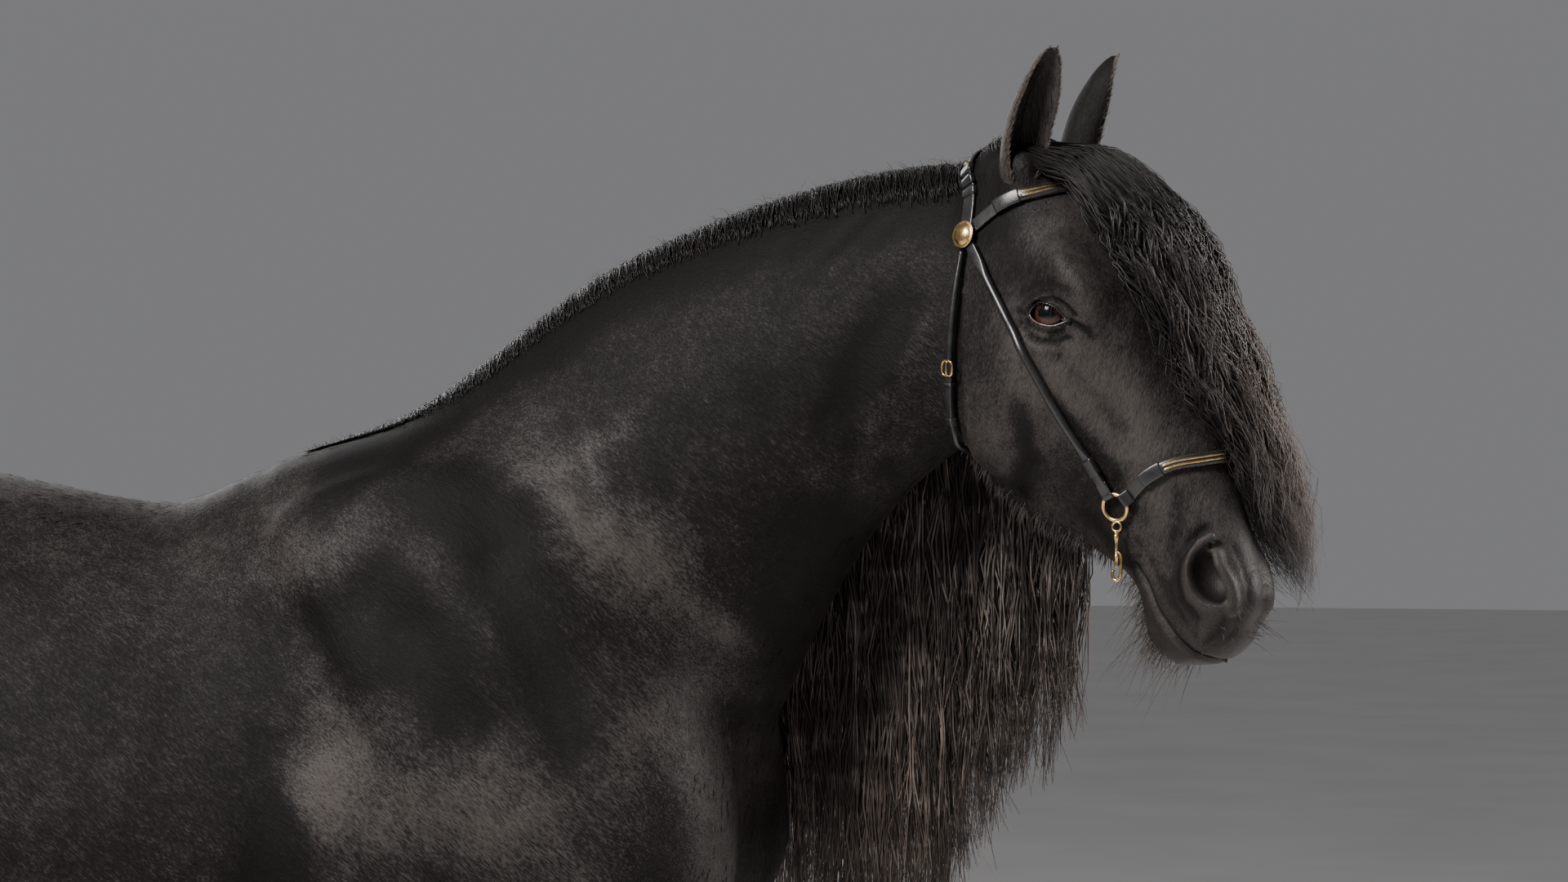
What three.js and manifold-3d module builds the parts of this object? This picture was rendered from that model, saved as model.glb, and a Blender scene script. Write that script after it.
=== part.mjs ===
// A life-size black baroque horse in a show bridle, standing square on four hooves.
// The body is one smooth field of lofts and muscle masses, meshed and then parted by flat cuts.
// It is modelled straight and mirror-symmetric in (q, v, z): q forward from the withers, v to the
// horse's left, z up from the floor. placed() carries each solid over to the finished frame, with
// the neck and head bent to the right.
import * as THREE from "three";
import { mergeVertices } from "three/addons/utils/BufferGeometryUtils.js";
import { SimplifyModifier } from "three/addons/modifiers/SimplifyModifier.js";
import Module from "manifold-3d";

const wasm = await Module();
wasm.setup();

// ---- Driving dimensions, in millimetres and degrees ----
const originBehind = 77.4; // the frame's origin lies this far behind the withers, on the floor
const gap = 0.4; // clear space between touching pieces
const hairRoom = 6; // long hair keeps this far off the skin
const bendStart = 150; // the neck starts to turn here
const bendEnd = 850; // and holds its turn from here on
const bendAngle = 20;
const headOrigin = { q: 870, z: 1950 }; // the poll
const headPitch = 68.3; // the line from poll to lips, below the horizontal
const eyeball = { u: 207, w: -31, v: 87, radius: 22 };
const strideTop = 760; // the legs lean along q below this height
const stride = { foreRight: 45, foreLeft: -30, hindRight: 55, hindLeft: -55 }; // hoof offsets
const hoof = { toe: 86, heel: 44, front: 84, rear: 64, half: 69, topFront: 26, topRear: 80, topHalf: 58 };
const foreHoof = { q: 279, v: 128 };
const hindHoof = { q: -957, v: 140 };
// Bridle: sizes, and places as u, w, v on the head
const strap = { thick: 3.4, flat: 17, band: 15, bandThick: 5, rolled: 9.5, throat: 9, throatThick: 7 };
const trimSize = { wide: 8, thick: 1.6 };
const rosette = { radius: 16, rise: 5, lift: 6.5, at: [76, -106, 98] };
const ring = { radius: 15, wire: 2.6, lift: 5.5, at: [431, -52, 66] };
const snapLength = 66;
const buckle = { radius: 7.5, wire: 1.6, lift: 12.4, at: [213, -174, -92] };
const triangles = { head: 1290, torso: 1720, foreLeg: 385, hindLeg: 435, ear: 84 }; // wanted of each mesh

// Trunk sections: q, top, bottom, widest level, half-width, power above, power below
const trunkSections = [
  [378, 1395, 972, 1150, 205, 2.0, 2.1],
  [250, 1500, 862, 1140, 236, 1.8, 2.1],
  [60, 1566, 798, 1130, 254, 1.5, 2.1],
  [-100, 1566, 775, 1130, 284, 1.45, 2.1],
  [-240, 1530, 766, 1140, 314, 1.7, 2.1],
  [-470, 1564, 768, 1150, 338, 2.0, 2.1],
  [-680, 1605, 818, 1200, 328, 2.1, 2.1],
  [-840, 1622, 905, 1270, 302, 2.2, 2.1],
  [-990, 1596, 1010, 1300, 270, 2.2, 2.0],
  [-1105, 1520, 1110, 1310, 205, 2.1, 2.0],
];
// Neck sections: crest q, z, throat q, z, half-width, widest level as a share from throat to crest
const neckSections = [
  [-70, 1545, 310, 985, 225, 0.42],
  [28, 1602, 430, 1085, 205, 0.42],
  [130, 1682, 482, 1222, 176, 0.42],
  [290, 1798, 543, 1340, 146, 0.43],
  [450, 1866, 607, 1455, 122, 0.44],
  [600, 1906, 680, 1540, 103, 0.45],
  [735, 1922, 745, 1590, 90, 0.47],
  [850, 1912, 835, 1650, 80, 0.5],
];
// Head sections: u from poll to lips, forehead line, jaw line, widest level, half-width, power above,
// power below
const headSections = [
  [26, -4, -118, -50, 72, 2.2, 2.2],
  [90, 40, -165, -45, 88, 2.2, 2.2],
  [155, 62, -200, -35, 99, 2.3, 2.1],
  [212, 68, -214, -38, 103, 2.5, 2.0],
  [285, 66, -221, -52, 92, 2.4, 2.0],
  [345, 63, -207, -45, 76, 2.3, 2.0],
  [400, 62, -172, -25, 64, 2.2, 2.0],
  [455, 60, -120, -10, 55, 2.1, 2.0],
  [505, 56, -86, -4, 53, 2.1, 2.2],
  [548, 48, -84, -6, 58, 2.1, 2.2],
  [585, 33, -80, -14, 55, 2.1, 2.2],
  [606, 16, -66, -22, 45, 2.1, 2.2],
];
// Leg sections: z, q, v, tilt of the front direction, front, rear, half-width
const foreLegSections = [
  [1110, 255, 158, 0, 165, 165, 76],
  [960, 190, 146, 0, 112, 118, 84],
  [850, 176, 138, 0, 92, 92, 74],
  [700, 174, 131, 0, 68, 66, 57],
  [570, 174, 128, 0, 51, 48, 45],
  [500, 178, 127, 0, 52, 45, 51],
  [445, 178, 127, 0, 50, 46, 52],
  [395, 171, 127, 0, 38, 46, 43],
  [325, 168, 127, 0, 32, 44, 33],
  [265, 168, 127, 0, 34, 47, 34],
  [225, 173, 127, 8, 43, 50, 44],
  [180, 194, 127, 28, 37, 37, 37],
  [120, 230, 128, 28, 42, 42, 43],
  [80, 251, 128, 12, 53, 57, 58],
  [34, 262, 128, 12, 53, 57, 58],
];
const hindLegSections = [
  [1250, -885, 150, 0, 215, 225, 112],
  [1100, -885, 158, 0, 205, 222, 116],
  [985, -868, 158, -8, 168, 195, 106],
  [860, -905, 150, -25, 122, 128, 86],
  [740, -972, 146, -33, 82, 84, 62],
  [650, -1034, 143, -30, 60, 62, 49],
  [590, -1068, 142, -15, 62, 52, 48],
  [535, -1080, 141, 0, 54, 46, 46],
  [470, -1082, 140, 0, 39, 46, 37],
  [350, -1076, 140, 0, 33, 46, 33],
  [280, -1073, 140, 0, 35, 48, 35],
  [232, -1066, 140, 8, 45, 51, 45],
  [182, -1046, 140, 26, 38, 38, 37],
  [122, -1010, 140, 26, 43, 43, 43],
  [80, -987, 140, 12, 53, 57, 58],
  [34, -976, 140, 12, 53, 57, 58],
];
// Ear slices: level, q, v, half-length, half-width; the hollow has the same kind
const earSlices = [
  [1885, 858, 58, 20, 20],
  [1915, 864, 62, 25, 23],
  [1950, 873, 66, 28, 22],
  [1988, 888, 70, 28, 18],
  [2020, 902, 74, 19, 12],
  [2048, 913, 78, 6, 5],
];
const earHollow = [
  [1918, 872, 82, 13, 14],
  [1950, 881, 86, 20, 20],
  [1988, 895, 88, 20, 17],
  [2020, 906, 88, 12, 12],
  [2042, 914, 86, 3, 5],
];
const farEarShift = { q: 5, v: 8, z: 6 }; // the left ear stands a little higher and further out
// Tail slices
const tailSlices = [
  [1520, -1118, 0, 30, 34],
  [1492, -1150, 0, 42, 40],
  [1430, -1192, 0, 47, 50],
  [1300, -1222, 0, 54, 68],
  [1100, -1236, 0, 64, 82],
  [850, -1240, 0, 70, 90],
  [600, -1238, 0, 70, 88],
  [400, -1236, 0, 62, 74],
  [270, -1234, 0, 46, 54],
  [204, -1232, 0, 26, 30],
];
// Feather slices around a pastern, with q counted from the fetlock's section
const featherSlices = [
  [345, -18, 0, 40, 32],
  [250, -14, 0, 80, 62],
  [165, 10, 0, 98, 82],
  [90, 32, 0, 102, 92],
  [26, 26, 0, 90, 84],
];
// Forelock: u, w, v, half-thickness, half-width
const forelockSections = [
  [-16, -12, 0, 20, 40],
  [20, 16, 0, 34, 62],
  [80, 52, -2, 38, 82],
  [160, 74, 6, 42, 88],
  [240, 80, 18, 44, 84],
  [320, 78, 34, 46, 72],
  [400, 76, 50, 46, 60],
  [470, 73, 60, 42, 50],
  [530, 70, 66, 32, 38],
  [575, 68, 70, 18, 22],
];
// Where the mane ends: q, z
const maneHem = [
  [-90, 1520], [0, 1400], [100, 1280], [200, 1190], [300, 1110], [400, 1050], [500, 1000], [580, 975],
  [650, 1010], [700, 1110], [760, 1190], [820, 1250], [862, 1330],
];

// ---- Small helpers ----
const rad = Math.PI / 180;
const clamp = (x, low, high) => Math.min(high, Math.max(low, x));
const mix = (a, b, t) => a + (b - a) * t;
const smooth = (t) => t * t * (3 - 2 * t);
const ramp = (x, from, to) => smooth(clamp((x - from) / (to - from), 0, 1));

// From the straight frame to the finished one: the neck bent to the right along an arc, and the
// origin moved to the floor under the middle
const turnRadius = (bendEnd - bendStart) / (bendAngle * rad);
const heading = (q) => clamp((q - bendStart) / turnRadius, 0, bendAngle * rad);
function world([q, v, z]) {
  const straight = Math.min(q - bendStart, 0) + Math.max(q - bendEnd, 0);
  const [s, c] = [Math.sin(heading(q)), Math.cos(heading(q))];
  return [
    bendStart + (turnRadius + v) * s + straight * c + originBehind,
    -turnRadius + (turnRadius + v) * c - straight * s,
    z,
  ];
}

// Rows of numbers blended by a Catmull-Rom curve, at a place t counted in rows
function rowAt(rows, t) {
  const i = clamp(Math.floor(t), 0, rows.length - 2);
  const f = clamp(t - i, 0, 1);
  const row = (k) => rows[clamp(k, 0, rows.length - 1)];
  return rows[0].map((_, c) => {
    const [a, b, d, e] = [row(i - 1)[c], row(i)[c], row(i + 1)[c], row(i + 2)[c]];
    const [s0, s1] = [(d - a) / 2, (e - b) / 2];
    const g = f * f;
    return b + f * s0 + g * (3 * (d - b) - 2 * s0 - s1) + g * f * (2 * (b - d) + s0 + s1);
  });
}

// ---- The field: below 0 inside the horse, about the distance to its surface outside ----
// A loft is a list of sections across a path in the q-z plane. Each is a rounded-square ellipse with a
// front (or upper) size a, a rear (or lower) size b and a half-width h, and half-ellipsoids close its ends.
function loft(sections, caps, rowsPerSpan = 4) {
  const count = (sections.length - 1) * rowsPerSpan + 1;
  const at = Array.from({ length: count }, (_, i) => {
    const [q, z, v, tilt, a, b, h, above, below] = rowAt(sections, i / rowsPerSpan);
    return { q, z, v, eq: Math.cos(tilt * rad), ez: Math.sin(tilt * rad), a, b, h, above, below };
  });
  at.forEach((s, i) => {
    const [from, to] = [at[Math.max(i - 1, 0)], at[Math.min(i + 1, count - 1)]];
    const side = Math.sign((to.q - from.q) * -s.ez + (to.z - from.z) * s.eq);
    s.tq = -s.ez * side;
    s.tz = s.eq * side;
  });
  const ahead = (s, q, z) => (q - s.q) * s.tq + (z - s.z) * s.tz;
  return (q, v, z) => {
    let [best, i, f, over, cap] = [Infinity, 0, 0, 0, caps[0]];
    let before = ahead(at[0], q, z);
    if (before < 0) over = -before;
    if (over) best = Math.hypot(q - at[0].q, z - at[0].z);
    for (let k = 1; k < count; k++) {
      const now = ahead(at[k], q, z);
      if (before >= 0 && now < 0) {
        const far = Math.hypot(q - at[k].q, z - at[k].z);
        if (far < best) [best, i, f, over] = [far, k - 1, before / (before - now), 0];
      }
      before = now;
    }
    const last = at[count - 1];
    if (before >= 0) {
      const far = Math.hypot(q - last.q, z - last.z);
      if (far < best) [i, f, over, cap] = [count - 2, 1, before, caps[1]];
    }
    const [s, t] = [at[i], at[i + 1]];
    const of = (key) => mix(s[key], t[key], f);
    const [dq, dz] = [q - of("q"), z - of("z")];
    const up = dq * of("eq") + dz * of("ez");
    const out = v - of("v");
    const size = up > 0 ? of("a") : of("b");
    const power = up > 0 ? of("above") : of("below");
    const k =
      Math.abs(out / of("h")) ** power + Math.abs(up / size) ** power + (over / cap) ** power;
    const reach = Math.hypot(up, out, over);
    return reach < 1e-6 ? -Math.min(size, of("h")) : reach * (1 - k ** (-1 / power));
  };
}

// An ellipsoid with its long axis turned in the q-z plane, radii along it, across it and sideways
function mass(q, z, v, along, across, sideways, tilt = 0) {
  const [c, s] = [Math.cos(tilt * rad), Math.sin(tilt * rad)];
  return (pq, pv, pz) => {
    const x = ((pq - q) * c + (pz - z) * s) / along;
    const y = (-(pq - q) * s + (pz - z) * c) / across;
    const w = (pv - v) / sideways;
    const k = Math.hypot(x, y, w);
    const k2 = Math.hypot(x / along, y / across, w / sideways);
    return k2 < 1e-9 ? -Math.min(along, across, sideways) : (k * (k - 1)) / k2;
  };
}

// A round bar that tapers from one ball to another
function taper([q0, z0, v0, r0], [q1, z1, v1, r1]) {
  const [dq, dz, dv] = [q1 - q0, z1 - z0, v1 - v0];
  const long = dq * dq + dz * dz + dv * dv;
  return (q, v, z) => {
    const t = clamp(((q - q0) * dq + (z - z0) * dz + (v - v0) * dv) / long, 0, 1);
    return Math.hypot(q - q0 - t * dq, z - z0 - t * dz, v - v0 - t * dv) - mix(r0, r1, t);
  };
}

const joined = (a, b, blend) => {
  const h = Math.max(blend - Math.abs(a - b), 0) / blend;
  return Math.min(a, b) - (h * h * blend) / 4;
};
const carved = (a, b, blend) => -joined(-a, b, blend);

// The head's own frame: u runs from poll to lips, w towards the front of the face
const headAxis = { q: Math.cos(headPitch * rad), z: -Math.sin(headPitch * rad) };
const face = (u, w) => [
  headOrigin.q + u * headAxis.q - w * headAxis.z,
  headOrigin.z + u * headAxis.z + w * headAxis.q,
];
const faceMass = (u, w, v, along, across, sideways, turn = 0) =>
  mass(...face(u, w), v, along, across, sideways, turn - headPitch);
const faceTaper = (a, b) =>
  taper([...face(a[0], a[1]), a[2], a[3]], [...face(b[0], b[1]), b[2], b[3]]);

const trunk = loft(
  trunkSections.map(([q, top, bottom, mid, h, above, below]) => [
    q, mid, 0, 90, top - mid, mid - bottom, h, above, below,
  ]),
  [85, 75],
);
const neck = loft(
  neckSections.map(([kq, kz, tq, tz, h, share]) => {
    const length = Math.hypot(kq - tq, kz - tz);
    const tilt = Math.atan2(kz - tz, kq - tq) / rad;
    const centre = [mix(tq, kq, share), mix(tz, kz, share)];
    return [...centre, 0, tilt, length * (1 - share), length * share, h, 1.9, 2.1];
  }),
  [60, 40],
);
const head = loft(
  headSections.map(([u, top, bottom, mid, h, above, below]) => [
    ...face(u, mid), 0, 90 - headPitch, top - mid, mid - bottom, h, above, below,
  ]),
  [45, 15],
);
const legLoft = (sections) =>
  loft(sections.map(([z, q, v, tilt, a, b, h]) => [q, z, v, tilt, a, b, h, 2.1, 2.1]), [60, 6]);
const foreLeg = legLoft(foreLegSections);
const hindLeg = legLoft(hindLegSections);

// Muscles and bones that stand out, each with the width of its blend
const bodyMasses = [
  [mass(190, 1315, 146, 262, 146, 66, -50), 170], // shoulder
  [mass(-10, 1466, 40, 190, 86, 104, 8), 120], // withers
  [mass(160, 1115, 185, 170, 150, 66, 15), 70], // triceps
  [mass(355, 1145, 142, 125, 175, 98), 80], // point of the shoulder
  [mass(342, 1090, 72, 108, 150, 80), 60], // breast
  [mass(-850, 1400, 135, 270, 190, 155, -12), 80], // croup
  [taper([-1085, 1370, 95, 92], [-985, 930, 140, 78]), 80], // buttock
  [mass(-735, 985, 165, 78, 92, 62, 20), 60], // stifle
  [taper([-1078, 575, 142, 30], [-1122, 662, 142, 21]), 18], // point of the hock
  [taper([-1122, 662, 142, 16], [-1010, 830, 146, 34]), 26], // hamstring
  [taper([92, 985, 165, 40], [130, 900, 150, 45]), 50], // elbow
];
const faceMasses = [
  [faceMass(184, 10, 84, 48, 22, 30, 10), 30], // brow
  [faceMass(255, -125, 58, 110, 84, 36, -8), 30], // cheek
  [faceTaper([235, -60, 92, 12], [385, -38, 58, 8]), 22], // facial crest
  [faceTaper([240, 44, 0, 32], [500, 36, 0, 24]), 26], // bridge of the nose
  [faceMass(545, 14, 40, 42, 32, 25, 12), 20], // nostril
  [faceMass(590, -14, 0, 34, 40, 46), 24], // upper lip
  [faceMass(575, -62, 0, 36, 26, 36), 16], // lower lip and chin
];
const faceHollows = [
  [faceMass(545, 24, 68, 27, 11, 14, 14), 10], // nostril opening
  [faceMass(eyeball.u, eyeball.w, 116, 21, 13, 14), 8], // opening of the lids
  [faceMass(120, -6, 104, 30, 22, 14), 26], // hollow above the eye
];

const strideOf = (q, v) =>
  q > -350
    ? v < 0 ? stride.foreRight : stride.foreLeft
    : v < 0 ? stride.hindRight : stride.hindLeft;
const lean = (z) => clamp((strideTop - z) / strideTop, 0, 1);
// The right shoulder stands a little ahead of the left one
const shoulderSet = (q, v, z) => 20 * Math.tanh(v / 80) * ramp(q, 150, 330) * ramp(z, 1500, 1300);

// The whole animal without ears, hooves or long hair
function body(q, v, z) {
  const side = Math.abs(v);
  const leaned = q - strideOf(q, v) * lean(z);
  let f = trunk(q, v, z);
  f = joined(f, neck(q, v, z), 70);
  f = joined(f, foreLeg(leaned, side, z), 45);
  f = joined(f, hindLeg(leaned, side, z), 55);
  const set = leaned + shoulderSet(q, v, z);
  for (const [shape, blend] of bodyMasses) f = joined(f, shape(set, side, z), blend);
  let skull = head(q, v, z);
  for (const [shape, blend] of faceMasses) skull = joined(skull, shape(q, side, z), blend);
  f = joined(f, skull, 26);
  for (const [shape, blend] of faceHollows) f = carved(f, shape(q, side, z), blend);
  return f;
}

// ---- Meshing ----
// The surface where the field is 0 inside a box, as one vertex for each grid cell that it crosses,
// moved onto the field by a few Newton steps, and two triangles for each crossed grid edge
function meshField(field, low, high, step) {
  const n = low.map((l, i) => Math.ceil((high[i] - l) / step) + 1);
  const value = new Float32Array(n[0] * n[1] * n[2]);
  const index = (i, j, k) => (k * n[1] + j) * n[0] + i;
  const place = (i, axis) => low[axis] + i * step;
  for (let k = 0; k < n[2]; k++)
    for (let j = 0; j < n[1]; j++)
      for (let i = 0; i < n[0]; i++) {
        const rim = [i, j, k].some((x, axis) => x === 0 || x === n[axis] - 1);
        const f = field(place(i, 0), place(j, 1), place(k, 2));
        value[index(i, j, k)] = rim ? Math.max(f, step / 2) : f;
      }
  const vertexOf = new Map();
  const points = [];
  const corners = [0, 1, 2, 3, 4, 5, 6, 7].map((c) => [c & 1, (c >> 1) & 1, c >> 2]);
  const edges = [
    [0, 1], [2, 3], [4, 5], [6, 7], [0, 2], [1, 3], [4, 6], [5, 7], [0, 4], [1, 5], [2, 6], [3, 7],
  ];
  const cellVertex = (i, j, k) => {
    const key = index(i, j, k);
    if (vertexOf.has(key)) return vertexOf.get(key);
    const at = corners.map(([a, b, c]) => value[index(i + a, j + b, k + c)]);
    const sum = [0, 0, 0];
    let crossed = 0;
    for (const [a, b] of edges)
      if (at[a] < 0 !== at[b] < 0) {
        const t = at[a] / (at[a] - at[b]);
        for (let x = 0; x < 3; x++) sum[x] += mix(corners[a][x], corners[b][x], t);
        crossed++;
      }
    const p = sum.map((s, x) => low[x] + ([i, j, k][x] + s / crossed) * step);
    const inside = p.every((x, axis) => x > low[axis] + step && x < high[axis] - step);
    points.push(inside ? settle(field, p, step) : p);
    vertexOf.set(key, points.length - 1);
    return points.length - 1;
  };
  const faces = [];
  // The four cells around a crossed grid edge that runs along an axis
  const around = [[[-1, -1], [0, -1], [0, 0], [-1, 0]], [[-1, -1], [-1, 0], [0, 0], [0, -1]]];
  const quad = (i, j, k, axis, turned) => {
    const at = around[axis === 1 ? 1 : 0].map(([x, y]) => {
      const cell = [i, j, k];
      cell[axis === 0 ? 1 : 0] += x;
      cell[axis === 2 ? 1 : 2] += y;
      return cellVertex(...cell);
    });
    const [a, b, c, d] = turned ? at.reverse() : at;
    faces.push(a, b, c, a, c, d);
  };
  for (let k = 0; k < n[2] - 1; k++)
    for (let j = 0; j < n[1] - 1; j++)
      for (let i = 0; i < n[0] - 1; i++) {
        const here = value[index(i, j, k)] < 0;
        if (here !== value[index(i + 1, j, k)] < 0) quad(i, j, k, 0, !here);
        if (here !== value[index(i, j + 1, k)] < 0) quad(i, j, k, 1, !here);
        if (here !== value[index(i, j, k + 1)] < 0) quad(i, j, k, 2, !here);
      }
  return solid(points.flat(), faces);
}

// A point moved along the field's slope until the field has the value wanted there
function settle(field, p, step, value = 0, turns = 3) {
  let at = [...p];
  const tiny = 0.5;
  for (let turn = 0; turn < turns; turn++) {
    const f = field(...at);
    const slope = slopeOf(field, at, f, tiny);
    const steep = Math.max(slope.reduce((s, g) => s + g * g, 0), 0.05);
    at = at.map((x, i) => x - clamp(((f - value) * slope[i]) / steep, -step / 3, step / 3));
  }
  return at;
}
const slopeOf = (field, at, f = field(...at), tiny = 0.5) =>
  [0, 1, 2].map((x) => {
    const moved = [...at];
    moved[x] += tiny;
    return (field(...moved) - f) / tiny;
  });

function solid(coordinates, triangles) {
  return new wasm.Manifold(
    new wasm.Mesh({
      numProp: 3,
      vertProperties: new Float32Array(coordinates),
      triVerts: new Uint32Array(triangles),
    }),
  );
}

// The same surface with about the given number of triangles. Where thinning pinches the surface,
// it is tried again with a few more.
async function thinned(shape, triangles) {
  const { vertProperties, triVerts } = shape.getMesh();
  const geometry = new THREE.BufferGeometry();
  geometry.setAttribute("position", new THREE.BufferAttribute(vertProperties, 3));
  geometry.setIndex(new THREE.BufferAttribute(triVerts, 1));
  geometry.computeVertexNormals();
  for (let wanted = triangles; wanted < triVerts.length / 3; wanted *= 1.04) {
    const count = Math.round((vertProperties.length / 3) * (1 - (3 * wanted) / triVerts.length));
    const less = await new SimplifyModifier().modify(geometry.clone(), count);
    try {
      return fromGeometry(less);
    } catch {
      continue;
    }
  }
  return shape;
}

// A closed surface with every vertex moved out along its own normal
function inflated(shape, distance) {
  const { vertProperties: at, triVerts } = shape.getMesh();
  const geometry = new THREE.BufferGeometry();
  geometry.setAttribute("position", new THREE.BufferAttribute(at.slice(), 3));
  geometry.setIndex(new THREE.BufferAttribute(triVerts.slice(), 1));
  geometry.computeVertexNormals();
  const normal = geometry.getAttribute("normal").array;
  return solid(at.map((x, i) => x + normal[i] * distance), triVerts);
}

// A three.js shape as a solid
function fromGeometry(geometry) {
  geometry.deleteAttribute("normal");
  geometry.deleteAttribute("uv");
  const merged = mergeVertices(geometry, 1e-4);
  return solid(merged.getAttribute("position").array, merged.getIndex().array);
}

// Rings of equally many points, joined in order. Each end is closed by a strip between the first half
// of its points and the second, or the last ring is joined to the first.
function ringSolid(rings, around = false) {
  const n = rings[0].length;
  const points = rings.flat();
  const faces = [];
  const joins = around ? rings.length : rings.length - 1;
  for (let r = 0; r < joins; r++)
    for (let i = 0; i < n; i++) {
      const next = ((r + 1) % rings.length) * n;
      const [a, b, c, d] = [r * n + i, r * n + ((i + 1) % n), next + ((i + 1) % n), next + i];
      faces.push(a, b, c, a, c, d);
    }
  const last = (rings.length - 1) * n;
  for (let i = 0; !around && i < n / 2 - 1; i++) {
    const [a, b, c, d] = [i, i + 1, n - 2 - i, n - 1 - i];
    faces.push(a, c, b, a, d, c, last + a, last + b, last + c, last + a, last + c, last + d);
  }
  const shape = solid(points.flat(), faces);
  return shape.volume() < 0 ? solid(points.flat(), faces.reverse()) : shape;
}

// How far a ray from an inner point runs until the field reaches a value
function reachOf(field, [q, v, z], [dq, dv, dz], far, value = 0) {
  let [near, out] = [0, far];
  for (let turn = 0; turn < 16; turn++) {
    const t = (near + out) / 2;
    if (field(q + dq * t, v + dv * t, z + dz * t) < value) near = t;
    else out = t;
  }
  return (near + out) / 2;
}

const largest = (shape) => shape.decompose().sort((a, b) => b.volume() - a.volume())[0];

// The half of space under a plane that passes two points in q and z, and half a gap more
function behind([q0, z0], [q1, z1]) {
  const size = 6000;
  const [q, z] = [(q0 + q1) / 2, (z0 + z1) / 2];
  const box = new THREE.BoxGeometry(size, size, size);
  box.translate(0, 0, (gap - size) / 2);
  box.rotateY(-Math.atan2(z1 - z0, q1 - q0)).rotateZ(-heading(q));
  box.translate(...world([q, 0, z]));
  return fromGeometry(box);
}

// A solid of the straight frame, put in its final place
function placed(shape) {
  const { vertProperties: at, triVerts } = shape.getMesh();
  const moved = new Float32Array(at.length);
  for (let i = 0; i < at.length; i += 3) moved.set(world(at.subarray(i, i + 3)), i);
  return solid(moved, triVerts);
}

// ---- Slices: horizontal ellipses stacked in z, for ears, tail and feathers ----
function slices(rows, flatten = 2) {
  const top = Math.max(rows[0][0], rows.at(-1)[0]);
  const bottom = Math.min(rows[0][0], rows.at(-1)[0]);
  const up = rows[0][0] < rows.at(-1)[0] ? rows : [...rows].reverse();
  return (q, v, z) => {
    const level = clamp(z, bottom, top);
    let i = 0;
    while (i < up.length - 2 && up[i + 1][0] < level) i++;
    const t = i + (level - up[i][0]) / (up[i + 1][0] - up[i][0]);
    const [, cq, cv, a, b] = rowAt(up, t);
    const over = Math.abs(z - level);
    const k = Math.abs((q - cq) / a) ** flatten + Math.abs((v - cv) / b) ** flatten;
    const flat = (k ** (1 / flatten) - 1) * Math.min(a, b);
    return over > 0 ? Math.hypot(Math.max(flat, 0), over) + Math.min(flat, 0) * 0.2 : flat;
  };
}

// ---- The body, meshed by region and parted by flat cuts ----
// A shape less every cutter that it touches
const all = (shape, ...cutters) =>
  cutters.reduce((s, c) => (s.intersect(c).isEmpty() ? s : s.subtract(c)), shape);
const flip = ([a, b]) => [b, a];
// Each cut is two points in the q-z plane. behind() keeps clear of its lower side, flip() of its
// upper one.
const cuts = {
  poll: [[792, 1940], [768, 1585]],
  withers: [[-30, 1598], [505, 1215]],
  elbow: [[90, 790], [300, 885]],
  flank: [[-1050, 1000], [-700, 800]],
  knee: [[60, 474], [300, 474]],
  hock: [[-1160, 566], [-1000, 600]],
};
const beyond = (cut) => behind(...flip(cut));
const ahead = (cut) => behind(...cut);

const meshed = async (field, low, high, step, count) =>
  placed(await thinned(meshField(field, low, high, step), count));
const headSolid = await meshed(body, [700, -160, 1300], [1250, 160, 2010], 14, triangles.head);
const torsoSolid = await meshed(body, [-1320, -420, 640], [860, 420, 2000], 46, triangles.torso);

const eyes = [-1, 1].map((side) => {
  const [q, z] = face(eyeball.u, eyeball.w);
  const ball = (radius) => {
    const sphere = new THREE.SphereGeometry(radius, 10, 7);
    sphere.translate(...world([q, side * eyeball.v, z]));
    return fromGeometry(sphere);
  };
  return { solid: ball(eyeball.radius), socket: ball(eyeball.radius + 3 * gap) };
});

const legs = [
  ["fore", "right", -1, foreHoof, stride.foreRight],
  ["fore", "left", 1, foreHoof, stride.foreLeft],
  ["hind", "right", -1, hindHoof, stride.hindRight],
  ["hind", "left", 1, hindHoof, stride.hindLeft],
];
const pieces = []; // [node, solid, material]
const legCutters = [];
const skins = []; // the flesh slightly inflated, to cut what lies on it

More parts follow.
